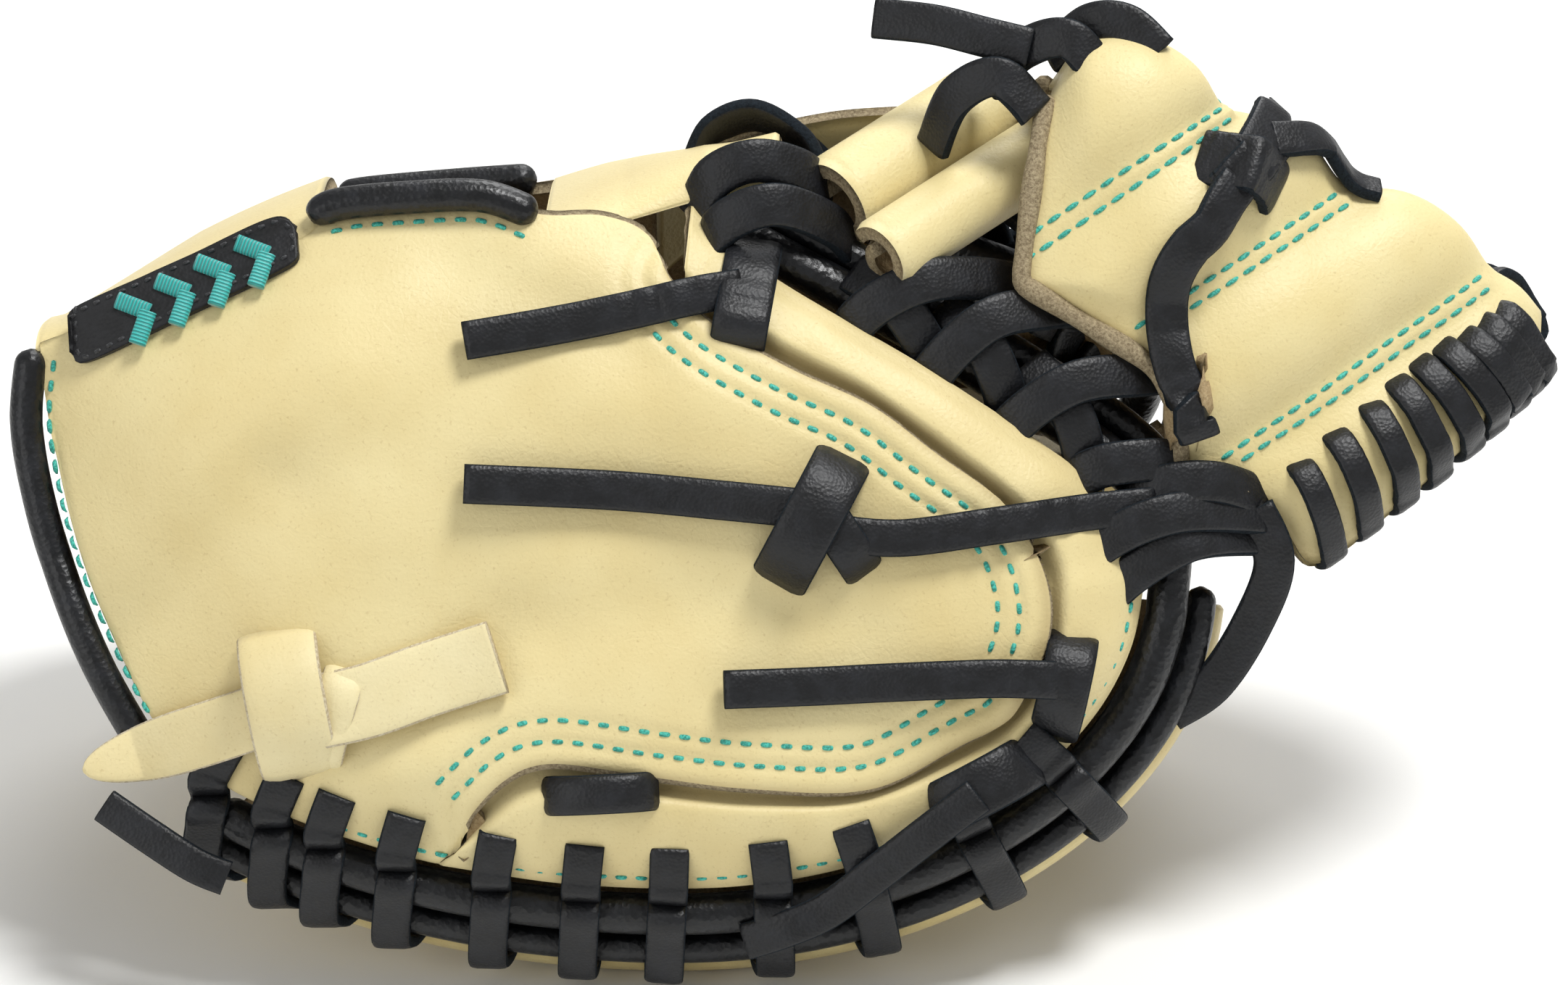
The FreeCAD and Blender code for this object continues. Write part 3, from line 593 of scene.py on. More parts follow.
panel = {"low": [(-61, 24), (-57, 31), (-50, 37.4), (-42, 39.5), (-24, 37), (-6, 35), (16, 35),
                 (33, 43.5), (42, 48.6), (46.4, 57)],
         "top": [(-139.6, 119), (-112, 130.2), (-90, 139.4), (-85, 143.2), (-70, 144.5),
                 (-54, 145.5), (-44, 144), (-34, 144), (-25.5, 140.5), (-21, 131.6), (-13.4, 123.4),
                 (1, 115), (16, 108), (28, 99), (40.4, 89.7), (46.6, 80)],
         "fingerTop": [(-137, 84), (-112, 102), (-90, 112.5), (-85, 114), (-70, 116), (-54, 117.5),
                       (-44, 121), (-34, 126.5), (-26, 134), (-21, 131.6), (-13.4, 123.4),
                       (1, 115), (16, 108), (28, 99), (40.4, 89.7), (46.6, 80)],
         "rows": (5.4, 9.4), "step": 1.35, "thick": 3.0,
         # folds and dents of the broken-in back: line, half width, height
         "folds": [([(-132, 60), (-112, 72), (-96, 92)], 9, -2.6),
                   ([(-78, 48), (-66, 52), (-52, 66)], 8, -2.2),
                   ([(-126, 84), (-108, 100), (-84, 112)], 12, 2.0),
                   ([(-40, 66), (-14, 70), (14, 66)], 9, -2.0),
                   ([(-70, 84), (-40, 104), (-20, 108)], 12, 1.8),
                   ([(-60, 132), (-40, 126), (-26, 116)], 8, -1.6),
                   ([(-104, 32), (-84, 36), (-66, 40)], 7, 1.2)]}
panelTop = {thumb: panel["top"], finger: panel["fingerTop"]}
panelLow = [tuple(p) for p in rimPoint(np.array([-0.05, 0.02, 0.08, 0.14, 0.19]),
                                       panelInset + 0.4)] + panel["low"]
panelEdge = panel["low"][1:] + [(49, 68), (46.6, 80)] + panel["top"][-2:8:-1]


def outerGrid(side, u, v):
    # both edges run from the wrist to the rounded end; the wrist edge bows outwards
    low, top = spline(evenly(panelLow, 40), u), spline(evenly(panelTop[side], 60), u)
    flat = low * (1 - v[..., None]) + top * v[..., None]
    x = flat[..., 0] + (3.5 * u ** 8 - 5 * (1 - u) ** 6) * 4 * v * (1 - v)
    return x, flat[..., 1]


def panelGap(x, rise):
    return nearest(x, rise, evenly(panelEdge, 220))


def panelLevel(x, rise):
    # the big panel's own relief on top of the back's shape
    x, rise = np.broadcast_arrays(np.asarray(x, float), np.asarray(rise, float))
    level, gap = backLevel(x, rise), panelGap(x, rise)
    # stitch rows press shallow valleys, and the leather swells a little between them
    for row in panel["rows"]:
        level = level - 0.55 * np.exp(-((gap - row) / 1.0) ** 2)
    level = level + 0.5 * np.exp(-((gap - 2.6) / 1.8) ** 2)
    welt = evenly(rimPoint(np.linspace(0.0, 0.22, 20), weltInset), 80)
    level = level + 0.7 * np.exp(-(nearest(x, rise, welt) / 7.0) ** 2)
    # slow unevenness of hand-formed leather, and soft dents by the finger stall
    level = level + 0.55 * np.sin(x / 17.0 + 1.3) * np.sin(rise / 13.0 + 0.4) + 0.35 * np.sin(
        x / 8.3 + rise / 11.0) * smooth(gap / 14)
    for line, wide, high in panel["folds"]:
        level = level + high * np.exp(-(nearest(x, rise, evenly(line, 50)) / wide) ** 2)
    return level


def onPanel(side):
    return lambda x, rise: place(side, x, rise, panelLevel(x, rise))


def outerPanel(side, step):
    rows, columns = int(225 / step), int(112 / step)
    u, v = np.meshgrid(np.linspace(0, 1, rows), np.linspace(0, 1, columns), indexing="ij")
    x, rise = outerGrid(side, u, v)
    # darker close to the panel's edge as wear; the second term is painted shade, darker towards the bottom
    # of the panel below a rise of 20 mm
    wear = 0.5 * np.exp(-(panelGap(x, rise) / 1.6) ** 2) + 0.25 * smooth((20 - rise) / 20)
    return leatherSheet("outerPanel" + sideName[side].title(), onPanel(side)(x, rise),
                        outward(side), panel["thick"], backSkins,
                        wear, lambda x: x > -59)


for side in (thumb, finger):
    settle(outerPanel(side, panel["step"] if side == thumb else 2.0), side,
           [sideName[side] + "_outer_panel"])
    sewn = Bundle()
    for row in panel["rows"]:
        # the curve runs with the panel on its left
        stitchRow(sewn, onPanel(side), -side, offset(evenly(panelEdge, 160), row))
    settle(sewn.piece("panelStitches" + sideName[side].title(), [skin["thread"]]), side)
print("outer panels done")


# rim panel: puffed leather round the rim and up the slanted edge

rimPanel = {"outside": [tuple(p) for p in rimPoint(
                np.array([0.19, 0.25, 0.3, 0.36, 0.43, 0.5, 0.58, 0.66, 0.74, 0.82, 0.9, 0.97]),
                panelInset)]
            + [(67.6, 80), (59.5, 92), (48, 100.8), (36, 108.8), (25, 115.8), (13, 122.8),
               (2, 129.3), (-8, 136), (-13, 140.8), (-17, 145.5)],
            "inside": [(-60, 25), (-56.5, 31), (-50, 37.5), (-42, 39.5), (-28, 37.5), (-8, 35),
                       (12, 35), (28, 40.8), (39, 46.6), (45.4, 54), (48.5, 62), (49, 70),
                       (48.4, 77), (45, 84), (39.5, 90.4), (32, 96.4), (24, 102.4), (15, 108.6),
                       (5, 113.4), (-5, 118.6), (-13.4, 123.4), (-19, 128.5)],
            "tuck": 7.0, "puff": 2.6}


def rimSheet(side, step):
    share = np.linspace(0, 1, int(400 / step))
    outside, inside = spline(rimPanel["outside"], share), spline(rimPanel["inside"], share)
    run = inside - outside
    wide = np.linalg.norm(run, axis=1, keepdims=True)
    inside = inside + run / wide * rimPanel["tuck"]
    v = np.linspace(0, 1, 26)
    flat = outside[:, None] * (1 - v[None, :, None]) + inside[:, None] * v[None, :, None]
    x, rise = flat[..., 0], flat[..., 1]
    seen = v[None, :] * (wide + rimPanel["tuck"]) / wide
    puff = rimPanel["puff"] * np.sqrt(np.clip(1 - (2 * seen - 1) ** 2, 0, 1))
    under = smooth((seen - 0.78) / 0.25)
    level = backLevel(x, rise) - 1.2 + puff * (1 - under) - 3.2 * under
    welt = evenly(rimPanel["outside"], 200)
    gap = nearest(x, rise, welt)
    level = level - 0.4 * np.exp(-((gap - 2.2) / 0.9) ** 2)
    # gathers across the narrow parts of the band
    along = np.linspace(0, 1, len(share))[:, None] * 400
    level = level + 0.30 * np.sin(along / 4.6 + 2 * np.sin(along / 19)) * (1 - under) * (1 - v)
    # darker along the edge by the welt, and painted shade on the part tucked under the outer panel
    wear = 0.25 * np.exp(-(gap / 2) ** 2) + 0.25 * under
    return leatherSheet("rimPanel" + sideName[side].title(), place(side, x, rise, level),
                        outward(side), 2.4, backSkins, wear)


for side in (thumb, finger):
    settle(rimSheet(side, 1.6 if side == thumb else 2.4), side,
           [sideName[side] + "_rim_panel"])
print("rim panels done")


# welts: black rolls along the rim, with a row of thread beside them

slantWelt = [(72, 84), (63, 96), (46, 108), (18, 125), (-4, 137), (-16, 144)]


def weltPath(side, inset, level, first, last, slanted):
    flat = [tuple(p) for p in rimPoint(np.linspace(first, last, 26), inset)]
    flat = evenly(flat + (slantWelt if slanted else []), 320)
    wave = 0.25 * np.sin(np.arange(320) / 6.0)
    return place(side, flat[:, 0], flat[:, 1], level + wave)


for side in (thumb, finger):
    label = sideName[side]
    path = weltPath(side, weltInset, 7.5, 0.02, 0.97, True)
    back = Bundle()
    back.add(*rollBody(path, roundEnds(path, mitt["weltRadius"] * mm)))
    # second roll on the web side of the slanted edge
    outer = offset(evenly(slantWelt, 120), -6.4)
    outerPath = place(side, outer[:, 0], outer[:, 1], 4.0)
    back.add(*rollBody(outerPath, roundEnds(outerPath, 3.3 * mm)))
    settle(back.piece("backWelt" + label.title(), [skin["welt"]]), side,
           [label + "_back_welt"])
    palmPath = weltPath(side, 5.2, 0.4, 0.02, 0.99, False)
    low = Bundle()
    low.add(*rollBody(palmPath, roundEnds(palmPath, mitt["palmWeltRadius"] * mm)))
    settle(low.piece("palmWelt" + label.title(), [skin["welt"]]), side,
           [label + "_palm_welt"])
    rows = Bundle()
    beside = [tuple(p) for p in rimPoint(np.linspace(0.03, 0.96, 24), panelInset + 2.6)]
    stitchRow(rows, lift(side), -side, beside, 3.8)
    settle(rows.piece("weltStitches" + label.title(), [skin["thread"]]), side)
print("welts done")


# bindings: black rolls over the wrist edge and the edge of the hand opening

binding = {"wrist": [(-119.8, 43), (-128.2, 58), (-134.6, 73), (-139.4, 88), (-142.2, 104),
                     (-141, 118)],
           "opening": [(-88, 141.5), (-84, 144.6), (-70, 146.0), (-56, 146.2), (-46, 142.6)],
           "fingerWrist": [(-119.8, 42), (-127, 52), (-132.6, 63), (-136.4, 74), (-138.4, 85)],
           "fingerOpening": [(-87, 115), (-80, 116.6), (-66, 118.4), (-48, 121)],
           "radius": 3.1}
bindingEdges = {(thumb, "wrist"): binding["wrist"], (thumb, "opening"): binding["opening"],
                (finger, "wrist"): binding["fingerWrist"],
                (finger, "opening"): binding["fingerOpening"]}


def bindingPiece(side, kind):
    flat = evenly(bindingEdges[side, kind], 110)
    level = backLevel(flat[:, 0], np.minimum(flat[:, 1], crease - 12)) - 1.2
    path = place(side, flat[:, 0], flat[:, 1], level)
    bundle = Bundle()
    bundle.add(*rollBody(path, roundEnds(path, binding["radius"] * mm), 20))
    return bundle.piece(kind + "Binding" + sideName[side].title(), [skin["binding"]])


for side in (thumb, finger):
    for kind, drop in (("wrist", -4.4), ("opening", -4.6)):
        settle(bindingPiece(side, kind), side,
               [sideName[side] + "_" + kind + "_binding"])
        rows = Bundle()
        curve = offset(evenly(bindingEdges[side, kind], 60), drop)
        stitchRow(rows, onPanel(side), -side, curve[2:-2], 3.8)
        settle(rows.piece(kind + "Stitches" + sideName[side].title(), [skin["thread"]]), side)
print("bindings done")


# whips: laces over the rim, and loops over the slanted edge

whip = {"spots": [-115, -102, -91.5, -77, -57.7, -39.7, -22.2, -0.1, 20, 43.6, 62.6],
        "profile": [(25, 0.4), (20.5, 2.0), (16.5, 3.4), (12, 12.9), (7, 9.0), (2.8, 5.2),
                    (-0.2, 0.8), (0.4, -4.0), (3.4, -6.0)],
        "lean": (-0.04, -0.02, 0.01, 0.012), "width": 7.4}


def whipPath(side, x, count=40):
    # share of the rim whose point has this x
    shares = np.linspace(0, 1, 600)
    share = np.interp(x, rimPoint(shares)[:, 0], shares)
    profile = evenly(whip["profile"], count)
    lean = np.linspace(1, -1, count) * np.interp(x, [-115, -85, 0, 60], whip["lean"])
    spot = rimPoint(share + lean, profile[:, 0])
    ground = backLevel(spot[:, 0], spot[:, 1])
    inner = smooth((profile[:, 0] - 13.5) / 3)
    level = profile[:, 1] + inner * ground
    return place(side, spot[:, 0], spot[:, 1], level), spot, level


def laceGroup(name, side, paths, ups, width=None, nodes=()):
    bundle = Bundle()
    for path, up in zip(paths, ups):
        bundle.add(*laceBody(path, up, (width or mitt["laceWidth"]) * mm, mitt["laceThick"] * mm))
    return settle(bundle.piece(name, laceSkins), side, nodes)


def bowUp(path, side):
    # up vectors that turn with a lace going over an edge in the plane of its own bow
    tangent = np.gradient(path, axis=0)
    across = np.cross(tangent, outward(side))
    across = across.mean(0) / np.linalg.norm(across.mean(0))
    return np.cross(across, tangent) / np.linalg.norm(tangent, axis=1, keepdims=True)


# loops over the slanted edge: (x, rise, level) from the hole in the rim panel to the web
slantLoops = [[(-17, 143, 8), (-13, 150, 12), (-5, 153, 13), (4, 151, 8), (8, 147, 2)],
              [(-14, 133, 8.5), (-12, 140.5, 14.5), (-2, 144.6, 16.5), (9, 141, 9), (13, 136, 3)],
              [(9, 113, 8), (14, 123.5, 15), (25, 130, 17), (36, 131, 12), (46, 130, 4)],
              [(24, 103.5, 8), (28, 113.6, 15.5), (38, 123, 17.5), (49, 125.4, 12), (58, 126, 4)],
              [(38, 95, 8), (43, 104, 15.5), (54, 111.4, 17.5), (67, 113, 12), (76, 114, 4)],
              [(50, 88, 8), (57, 95, 15), (68, 97, 15), (77, 96, 9), (84, 95, 2)]]
slantCross = [[(13, 132, 10), (20, 127.5, 14.8), (26, 119, 13.5), (28, 112, 8.5)],
              [(30, 126, 10), (37, 119, 15.2), (41, 110, 13.6), (42, 103, 8.5)],
              [(46, 115, 10), (53, 107, 14.8), (56, 98, 13), (56, 91, 8.0)]]
for side in (thumb, finger):
    paths = [whipPath(side, x)[0] for x in whip["spots"]]
    laceGroup("rimWhips" + sideName[side].title(), side, paths, [bowUp(p, side) for p in paths],
              whip["width"], nodes=[sideName[side] + "_rim_lace"])
    under, over = [], []
    for group, curves in ((under, slantCross), (over, slantLoops)):
        for curve in curves:
            flat = evenly(curve, 34)
            group.append(place(side, flat[:, 0], flat[:, 1], flat[:, 2]))
    laceGroup("slantLoops" + sideName[side].title(), side, under + over,
              [bowUp(p, side) for p in under + over], 8.2,
              nodes=[sideName[side] + "_web_lace"])
print("whips done")


# laces of the thumb half

settle(laceStrip("upperTail", thumb, [(-8, 129, 3.0), (-16, 127.6, 2.4), (-30, 124.4, 2.2),
                                      (-44, 121.6, 2.6), (-59, 119, 3.4)], 7.2, square=True), thumb)
knots = Bundle()
bandOver(knots, thumb, (-7, 128), 80, 19, 10.5, 4.2)
settle(knots.piece("upperKnot", laceSkins), thumb,
       ["upper_lace_tail"])

middleKnot = Bundle()
bandOver(middleKnot, thumb, (5, 86), 62, 25, 11, 5.6, 0.4)
bandOver(middleKnot, thumb, (10, 83.6), 124, 17, 8.0, 3.6)
settle(middleKnot.piece("middleKnot", laceSkins), thumb,
       ["middle_lace"])
settle(laceStrip("middleTail", thumb, [(4, 88, 2.6), (-12, 89.6, 2.0), (-32, 91.4, 2.0),
                                       (-59, 92.6, 3.2)], 7.4, square=True), thumb)
settle(laceStrip("middleRight", thumb, [(10, 83.4, 2.4), (22, 82.6, 2.4), (40, 85, 2.6),
                                        (57, 87.4, 2.0), (69, 88.6, 6.0)], 7.0, square=True),
       thumb)

tipKnot = Bundle()
bandOver(tipKnot, thumb, (52, 55), 78, 18, 9.5, 5.0)
settle(tipKnot.piece("tipKnot", laceSkins), thumb,
       ["tip_lace_tail"])
settle(laceStrip("tipTail", thumb, [(54, 56, 3.4), (40, 56.6, 3.2), (22, 56, 2.2), (6, 55.2, 2.2),
                                    (-11, 54.6, 3.4)], 7.2, square=True), thumb)

rimKnot = Bundle()
bandOver(rimKnot, thumb, (37, 36.5), 28, 21, 10.5, 5.2, 1.0)
settle(rimKnot.piece("rimKnot", laceSkins), thumb,
       ["rim_lace_tail"])


def overRim(points, count=60):
    # path from (x, rise, level) points given by absolute level
    flat = evenly(points, count)
    return place(thumb, flat[:, 0], flat[:, 1], flat[:, 2])


rimTail = Bundle()
rimTail.add(*laceBody(overRim([(36, 35, 24.5), (27, 28, 22.5), (17, 20, 18.5), (8, 13, 14.8),
                               (0, 9.4, 13.4), (-7, 7, 10.5)]), outward(thumb), 7.0 * mm,
                      mitt["laceThick"] * mm))
rimTail.add(*laceBody(overRim([(-104, 19, 14.0), (-110, 21.5, 14.2), (-118, 26.5, 13.0),
                               (-127, 32.5, 11.5)]), outward(thumb), 6.6 * mm,
                      mitt["laceThick"] * mm))
settle(rimTail.piece("rimTails", laceSkins), thumb)

bar = Bundle()
bandOver(bar, thumb, (-34, 35.2), 3, 18.5, 7.4, 2.2, 0.6, 3.2)
settle(bar.piece("laceBar", laceSkins), thumb,
       ["lace_bar_stitch"])
print("thumb laces done")


# adjusting strap: cream, knotted, one square and one pointed tail

def strapPart(points, width, thick=2.6, count=50, point=False):
    # wide strap: taper to a point, or square
    path = onHalf(thumb, points, count)
    taper = np.ones(count)
    if point:
        taper = np.sqrt(np.clip(1 - np.clip((np.linspace(0, 1, count) - 0.4) / 0.6, 0, 1) ** 2,
                                0.004, 1))
    return laceBody(path, outward(thumb), width * mm, thick * mm, taper, dome=0.1)


strap = Bundle()
strap.add(*strapPart([(-86, 50.5, 3.0), (-77, 52.5, 2.4), (-66, 56.4, 2.0), (-53, 60.6, 3.4)], 14))
strap.add(*strapPart([(-96, 50, 3.4), (-106, 46.6, 2.4), (-118, 42.8, 2.4), (-131, 39.0, 4.2)],
                     12, point=True))
bandOver(strap, thumb, (-91.8, 51.8), 100, 25, 15, 6.4, 0.4, 3.0)
bandOver(strap, thumb, (-83.5, 49.5), 74, 17, 8, 3.6, 0.0, 2.6)
settle(strap.piece("adjustStrap", [skin["strap"], skin["strapEdge"]]), thumb,
       ["thumb_adjust_strap"])


# badge: black patch with three raised chevrons in satin thread

badge = {"corners": [(-134, 125), (-133.4, 117.2), (-130, 115), (-112, 124), (-93, 133),
                     (-90.2, 136), (-90.4, 139.5), (-95, 143), (-112, 135.4), (-131, 127)],
         "lift": 0.6, "thick": 1.5}


def badgePatch():
    corners = np.array(badge["corners"], float)
    rows, columns = 60, 26
    u, v = np.meshgrid(np.linspace(0, 1, rows), np.linspace(0, 1, columns), indexing="ij")
    low = evenly([(-133, 118), (-130.5, 115.4), (-112, 124), (-93, 133), (-90.6, 136)], rows)
    top = evenly([(-133.6, 124), (-131.5, 126.4), (-112, 135), (-95.4, 142.4), (-91, 140)], rows)
    flat = low[:, None] * (1 - v[..., None]) + top[:, None] * v[..., None]
    x, rise = flat[..., 0], flat[..., 1]
    level = panelLevel(x, rise) + badge["lift"] + badge["thick"]
    return leatherSheet("badgePatch", place(thumb, x, rise, level), outward(thumb),
                        badge["thick"], [skin["badge"], skin["badge"], skin["badge"]])


settle(badgePatch(), thumb, ["badge_patch"])
motif = Bundle()
slant = math.radians(25.5)
for k in range(4):
    # chevron as two bars of satin stitch, strands across the bar
    middle = np.array([-122.5 + 7.0 * k * 1.06, 122.8 + 7.0 * k * 0.51])
    for end in (-1, 1):
        tip = middle + np.array([math.cos(slant), math.sin(slant)]) * 4.4
        tail = middle + np.array([-math.sin(slant), math.cos(slant)]) * 4.6 * end
        s = np.linspace(0, 1, 26)
        line = tip + (tail - tip) * s[:, None]
        level = panelLevel(line[:, 0], line[:, 1]) + badge["lift"] + badge["thick"] + 0.25
        path = place(thumb, line[:, 0], line[:, 1], level)
        verts, faces, slots = laceBody(path, outward(thumb), 3.3 * mm, 1.3 * mm, dome=0.6)
        strand = np.repeat(s * 62, laceRound)
        motif.add(verts, faces, [0] * len(faces), strand)
settle(motif.piece("badgeMotif", [skin["satin"]]), thumb, ["badge_motif"])
edging = Bundle()
outline = badge["corners"] + badge["corners"][:1]
inner = offset(evenly(outline, 90), 1.5)
stitchRow(edging, lambda x, rise: place(thumb, x, rise, panelLevel(x, rise) + 2.1), 1, inner, 2.6,
          0.7, 0.38)
settle(edging.piece("badgeStitches", [skin["blackThread"]]), thumb)
print("strap and badge done")


# palm: one leather round both rims, its pocket face, and the bend over the crease

palm = {"wrap": [(9, 0.6), (5.6, -3.4), (1.6, -5.2), (0, -9.6), (1.8, -13.4), (7, -15), (16, -15)],
        "middle": 91.8, "arch": 71.0, "thick": 3.0}


def palmGrid(rows):
    u = np.linspace(0, 1, rows)
    crotch = 0.5 + 0.5 * np.cos(math.pi * u)
    middle = np.stack([8 - 140 * crotch ** 1.2, np.full(rows, palm["middle"])], -1)
    wrap = evenly(palm["wrap"], 17)
    flat = [rimPoint(0.03 + 0.94 * u, inset) for inset in wrap[:, 0]]
    levels = list(wrap[:, 1])
    start = flat[-1]
    for share in np.linspace(0, 1, 22)[1:]:
        flat.append(start + (middle - start) * share)
        levels.append(wrap[-1, 1])
    flat, levels = np.stack(flat, 1), np.array(levels)[None, :]
    # wrinkles of the worn pocket face, none at the rim
    face = smooth((np.arange(flat.shape[1]) - 17) / 6)[None, :]
    levels = levels + face * 0.5 * np.sin(flat[..., 0] / 9) * np.sin(flat[..., 1] / 12)
    half = place(thumb, flat[..., 0], flat[..., 1], levels)
    angle = math.pi / 2 + slope * (1 - np.linspace(0, 1, 10)[1:])
    arch = np.stack(np.broadcast_arrays(middle[:, :1], mitt["pocket"] * np.cos(angle)[None],
                                        palm["arch"] + mitt["pocket"] * np.sin(angle)[None]), -1)
    half = np.concatenate([half, arch * mm], 1)
    other = half[:, -2::-1] * farSide
    whole = np.concatenate([half, other], 1)
    # the weight of the mitt presses a narrow flat on each rim
    whole[..., 2] = np.maximum(whole[..., 2], 0)
    return whole


grid = palmGrid(230)
towards = np.zeros(grid.shape)
towards[..., 2] = -1
# the pocket face looks down and inwards; the thickness goes up into the mitt
bend = np.linspace(-1, 1, grid.shape[1])
towards[..., 1] = -np.sign(bend) * 0.2
towards[:, :8] = 0
towards[:, -8:] = 0
palmSkin = leatherSheet("palmShell", grid, towards, palm["thick"],
                        [skin["palm"], skin["edge"], skin["suede"]])
settle(palmSkin, nodes=["palm_shell"], cross=True)


def liningGrid(rows, columns, reach):
    angle = math.pi / 2 + slope * np.linspace(1, -1, columns)
    x = np.linspace(-126, -16, rows)[:, None]
    return np.stack(np.broadcast_arrays(x, reach * np.cos(angle)[None],
                                        palm["arch"] + reach * np.sin(angle)[None]), -1) * mm


lining = liningGrid(60, 30, mitt["pocket"] + 6.0)
settle(leatherSheet("palmLining", lining, [0, 0, 1], 2.0, [skin["lining"]] * 3),
       nodes=["palm_lining"], cross=True)
print("palm done")


# inside: felt pads and the sleeves for the thumb and the fingers

padTop = [(-122, 78), (-96, 84), (-60, 84), (-20, 84), (20, 84), (48, 82), (66, 74)]


def padPiece(side):
    rows, columns = 90, 30
    u, v = np.meshgrid(np.linspace(0, 1, rows), np.linspace(0, 1, columns), indexing="ij")
    low, top = rimPoint(0.03 + 0.92 * u, 17.5), spline(padTop, u)
    flat = low * (1 - v[..., None]) + top * v[..., None]
    x, rise = flat[..., 0], flat[..., 1]
    reach = np.where(x > mitt["rimCentre"], mitt["tipReach"], mitt["wristReach"])
    along, up = (x - mitt["rimCentre"]) / reach, np.maximum((mitt["rimDepth"] - rise) / 75, 0)
    rim = (1 - np.hypot(along, up)) * mitt["rimDepth"] * (1 + 0.5 * np.abs(along))
    hollow = rounded(rim - 24, 20.0)
    full = backLevel(x, rise) - 7.0
    level = full + (-1.5 - full) * hollow
    floor = np.full_like(level, -mitt["palm"] + 3.6)
    upper, lower = place(side, x, rise, level), place(side, x, rise, floor)
    count = rows * columns
    faces = gridFaces(rows, columns)
    if side == finger:
        faces = faces[:, ::-1]
    index = np.arange(count).reshape(rows, columns)
    loop = np.r_[index[0, :-1], index[:-1, -1], index[-1, :0:-1], index[:0:-1, 0]]
    nxt = np.roll(loop, -1)
    sides = np.stack([loop, loop + count, nxt + count, nxt], -1)
    if side == finger:
        sides = sides[:, ::-1]
    faces = np.concatenate([faces, faces[:, ::-1] + count, sides])
    verts = np.concatenate([upper.reshape(-1, 3), lower.reshape(-1, 3)])
    piece = makePiece("pad" + sideName[side].title(), verts, faces, [skin["felt"]])
    return piece


stall = {"start": -92.0, "long": 104.0, "wide": 36.0, "high": 17.0, "wall": 2.2, "level": 9.6}


def stallPiece(side):
    share = np.linspace(0, 1, 44)
    angle = np.linspace(0, 2 * math.pi, 49)[:-1]
    stations = [(stall["start"], 82.0, 1.0), (stall["start"] + stall["long"] / 2, 76.0, 0.95),
                (stall["start"] + stall["long"], 70.0, 0.72)]
    path = spline(stations, share)

    def sleeve(shrink):
        wide = stall["wide"] * path[:, 2:] / 2 - shrink
        high = stall["high"] * path[:, 2:] / 2 - shrink
        return place(side, path[:, :1], path[:, 1:2] + wide * np.cos(angle)[None],
                     stall["level"] + high * np.sin(angle)[None])

    outer, inner = sleeve(0), sleeve(stall["wall"])
    rows, columns = outer.shape[:2]
    count = rows * columns
    faces = gridFaces(rows, columns, True)
    if side == thumb:
        faces = faces[:, ::-1]
    ring = np.arange(columns)
    nxt = (ring + 1) % columns
    mouth = np.stack([ring, ring + count, nxt + count, nxt], -1)
    if side == finger:
        mouth = mouth[:, ::-1]
    last = (rows - 1) * columns
    closed = [list(map(int, ring + last)), list(map(int, ring[::-1] + last + count))]
    if side == thumb:
        closed = [face[::-1] for face in closed]
    rim = [list(map(int, face)) for face in mouth]
    verts = np.concatenate([outer.reshape(-1, 3), inner.reshape(-1, 3)])
    allFaces = [list(map(int, f)) for f in faces] + [list(map(int, f))
                                                     for f in faces[:, ::-1] + count] + rim + closed
    return makePiece("stall" + sideName[side].title(), verts, allFaces, [skin["lining"]])


for side in (thumb, finger):
    settle(padPiece(side), side, [sideName[side] + "_pad"])
    settle(stallPiece(side), side, [sideName[side] + "_stall"])
print("inside done")


# leather over the crease: wrist strap at one end of the hand opening, crotch at the other

def edgeAt(points, x):
    points = np.array(points)
    return np.interp(x, points[:, 0], points[:, 1])


def overCrease(name, xs, feet, pulls, node, tops=(0, 0)):
    # leaves each half along its own slope, then turns over: a cubic curve for every x
    x = np.linspace(xs[0], xs[1], 70)[:, None]
    t = np.linspace(0, 1, 70)[None, :]
    share = (x - xs[0]) / (xs[1] - xs[0])
    ends, turns = [], []
    for side, foot, pull, top in zip((thumb, finger), feet, pulls, tops):
        rise = foot(x)
        spot = place(side, x, rise, backLevel(x, rise) - 0.7) / mm
        ahead = (pull + top * share)[..., None] * np.array([0, -side * math.cos(slope),
                                                            math.sin(slope)])
        ends.append(spot)
        turns.append(spot + ahead)
    t = t[..., None]
    start, end, near, far = (np.asarray(p) for p in (ends[0], ends[1], turns[0], turns[1]))
    grid = ((1 - t) ** 3 * start + 3 * t * (1 - t) ** 2 * near + 3 * t ** 2 * (1 - t) * far
            + t ** 3 * end)
    return settle(leatherSheet(name, grid * mm, [0, 0.3, 1], 2.6,
                               backSkins),
                  nodes=[node], cross=True)


overCrease("wristStrap", (-140.5, -87),
           (lambda x: edgeAt(panel["top"][:9], x) - 1.5,
            lambda x: edgeAt(panel["fingerTop"][:9], x) - 1.5), (9.0, 17.0), "wrist_strap")
overCrease("crotchPanel", (-45, -1),
           (lambda x: edgeAt([(-45, 139.5), (-30, 141.5), (-15, 146), (0, 147)], x),
            lambda x: edgeAt([(-45, 119), (-30, 129), (-15, 142), (0, 147)], x)), (2.5, 4.0),
           "crotch_panel", (12.0, 6.0))
print("crease pieces done")


# web: puffed leather hung between the halves, front and back

web = {"low": [(44, 130), (57, 122), (69, 114), (74, 104), (74.5, 93), (86, 91), (94, 84),
               (101, 77.5), (117, 89), (131, 101), (144, 114)],
       "ridge": [(50, 156), (58, 161), (66, 162), (75, 158.5), (83, 152.5), (90, 147), (97, 142),
                 (104, 137), (118, 129), (132, 120), (145, 109)],
       "rows": [[(40, 135), (60, 148.6), (83, 163.5)], [(43, 133), (63, 146.4), (84.6, 161.6)],
                [(64.6, 121), (85, 134.6), (104.7, 147.6)], [(68, 120.4), (88, 133.4), (107, 145.7)],
                [(81, 96.6), (107, 114.6), (132.6, 132.3)], [(84.6, 96.2), (110, 113.4), (134, 130)]],
       "puff": 4.4, "tip": 24.0}


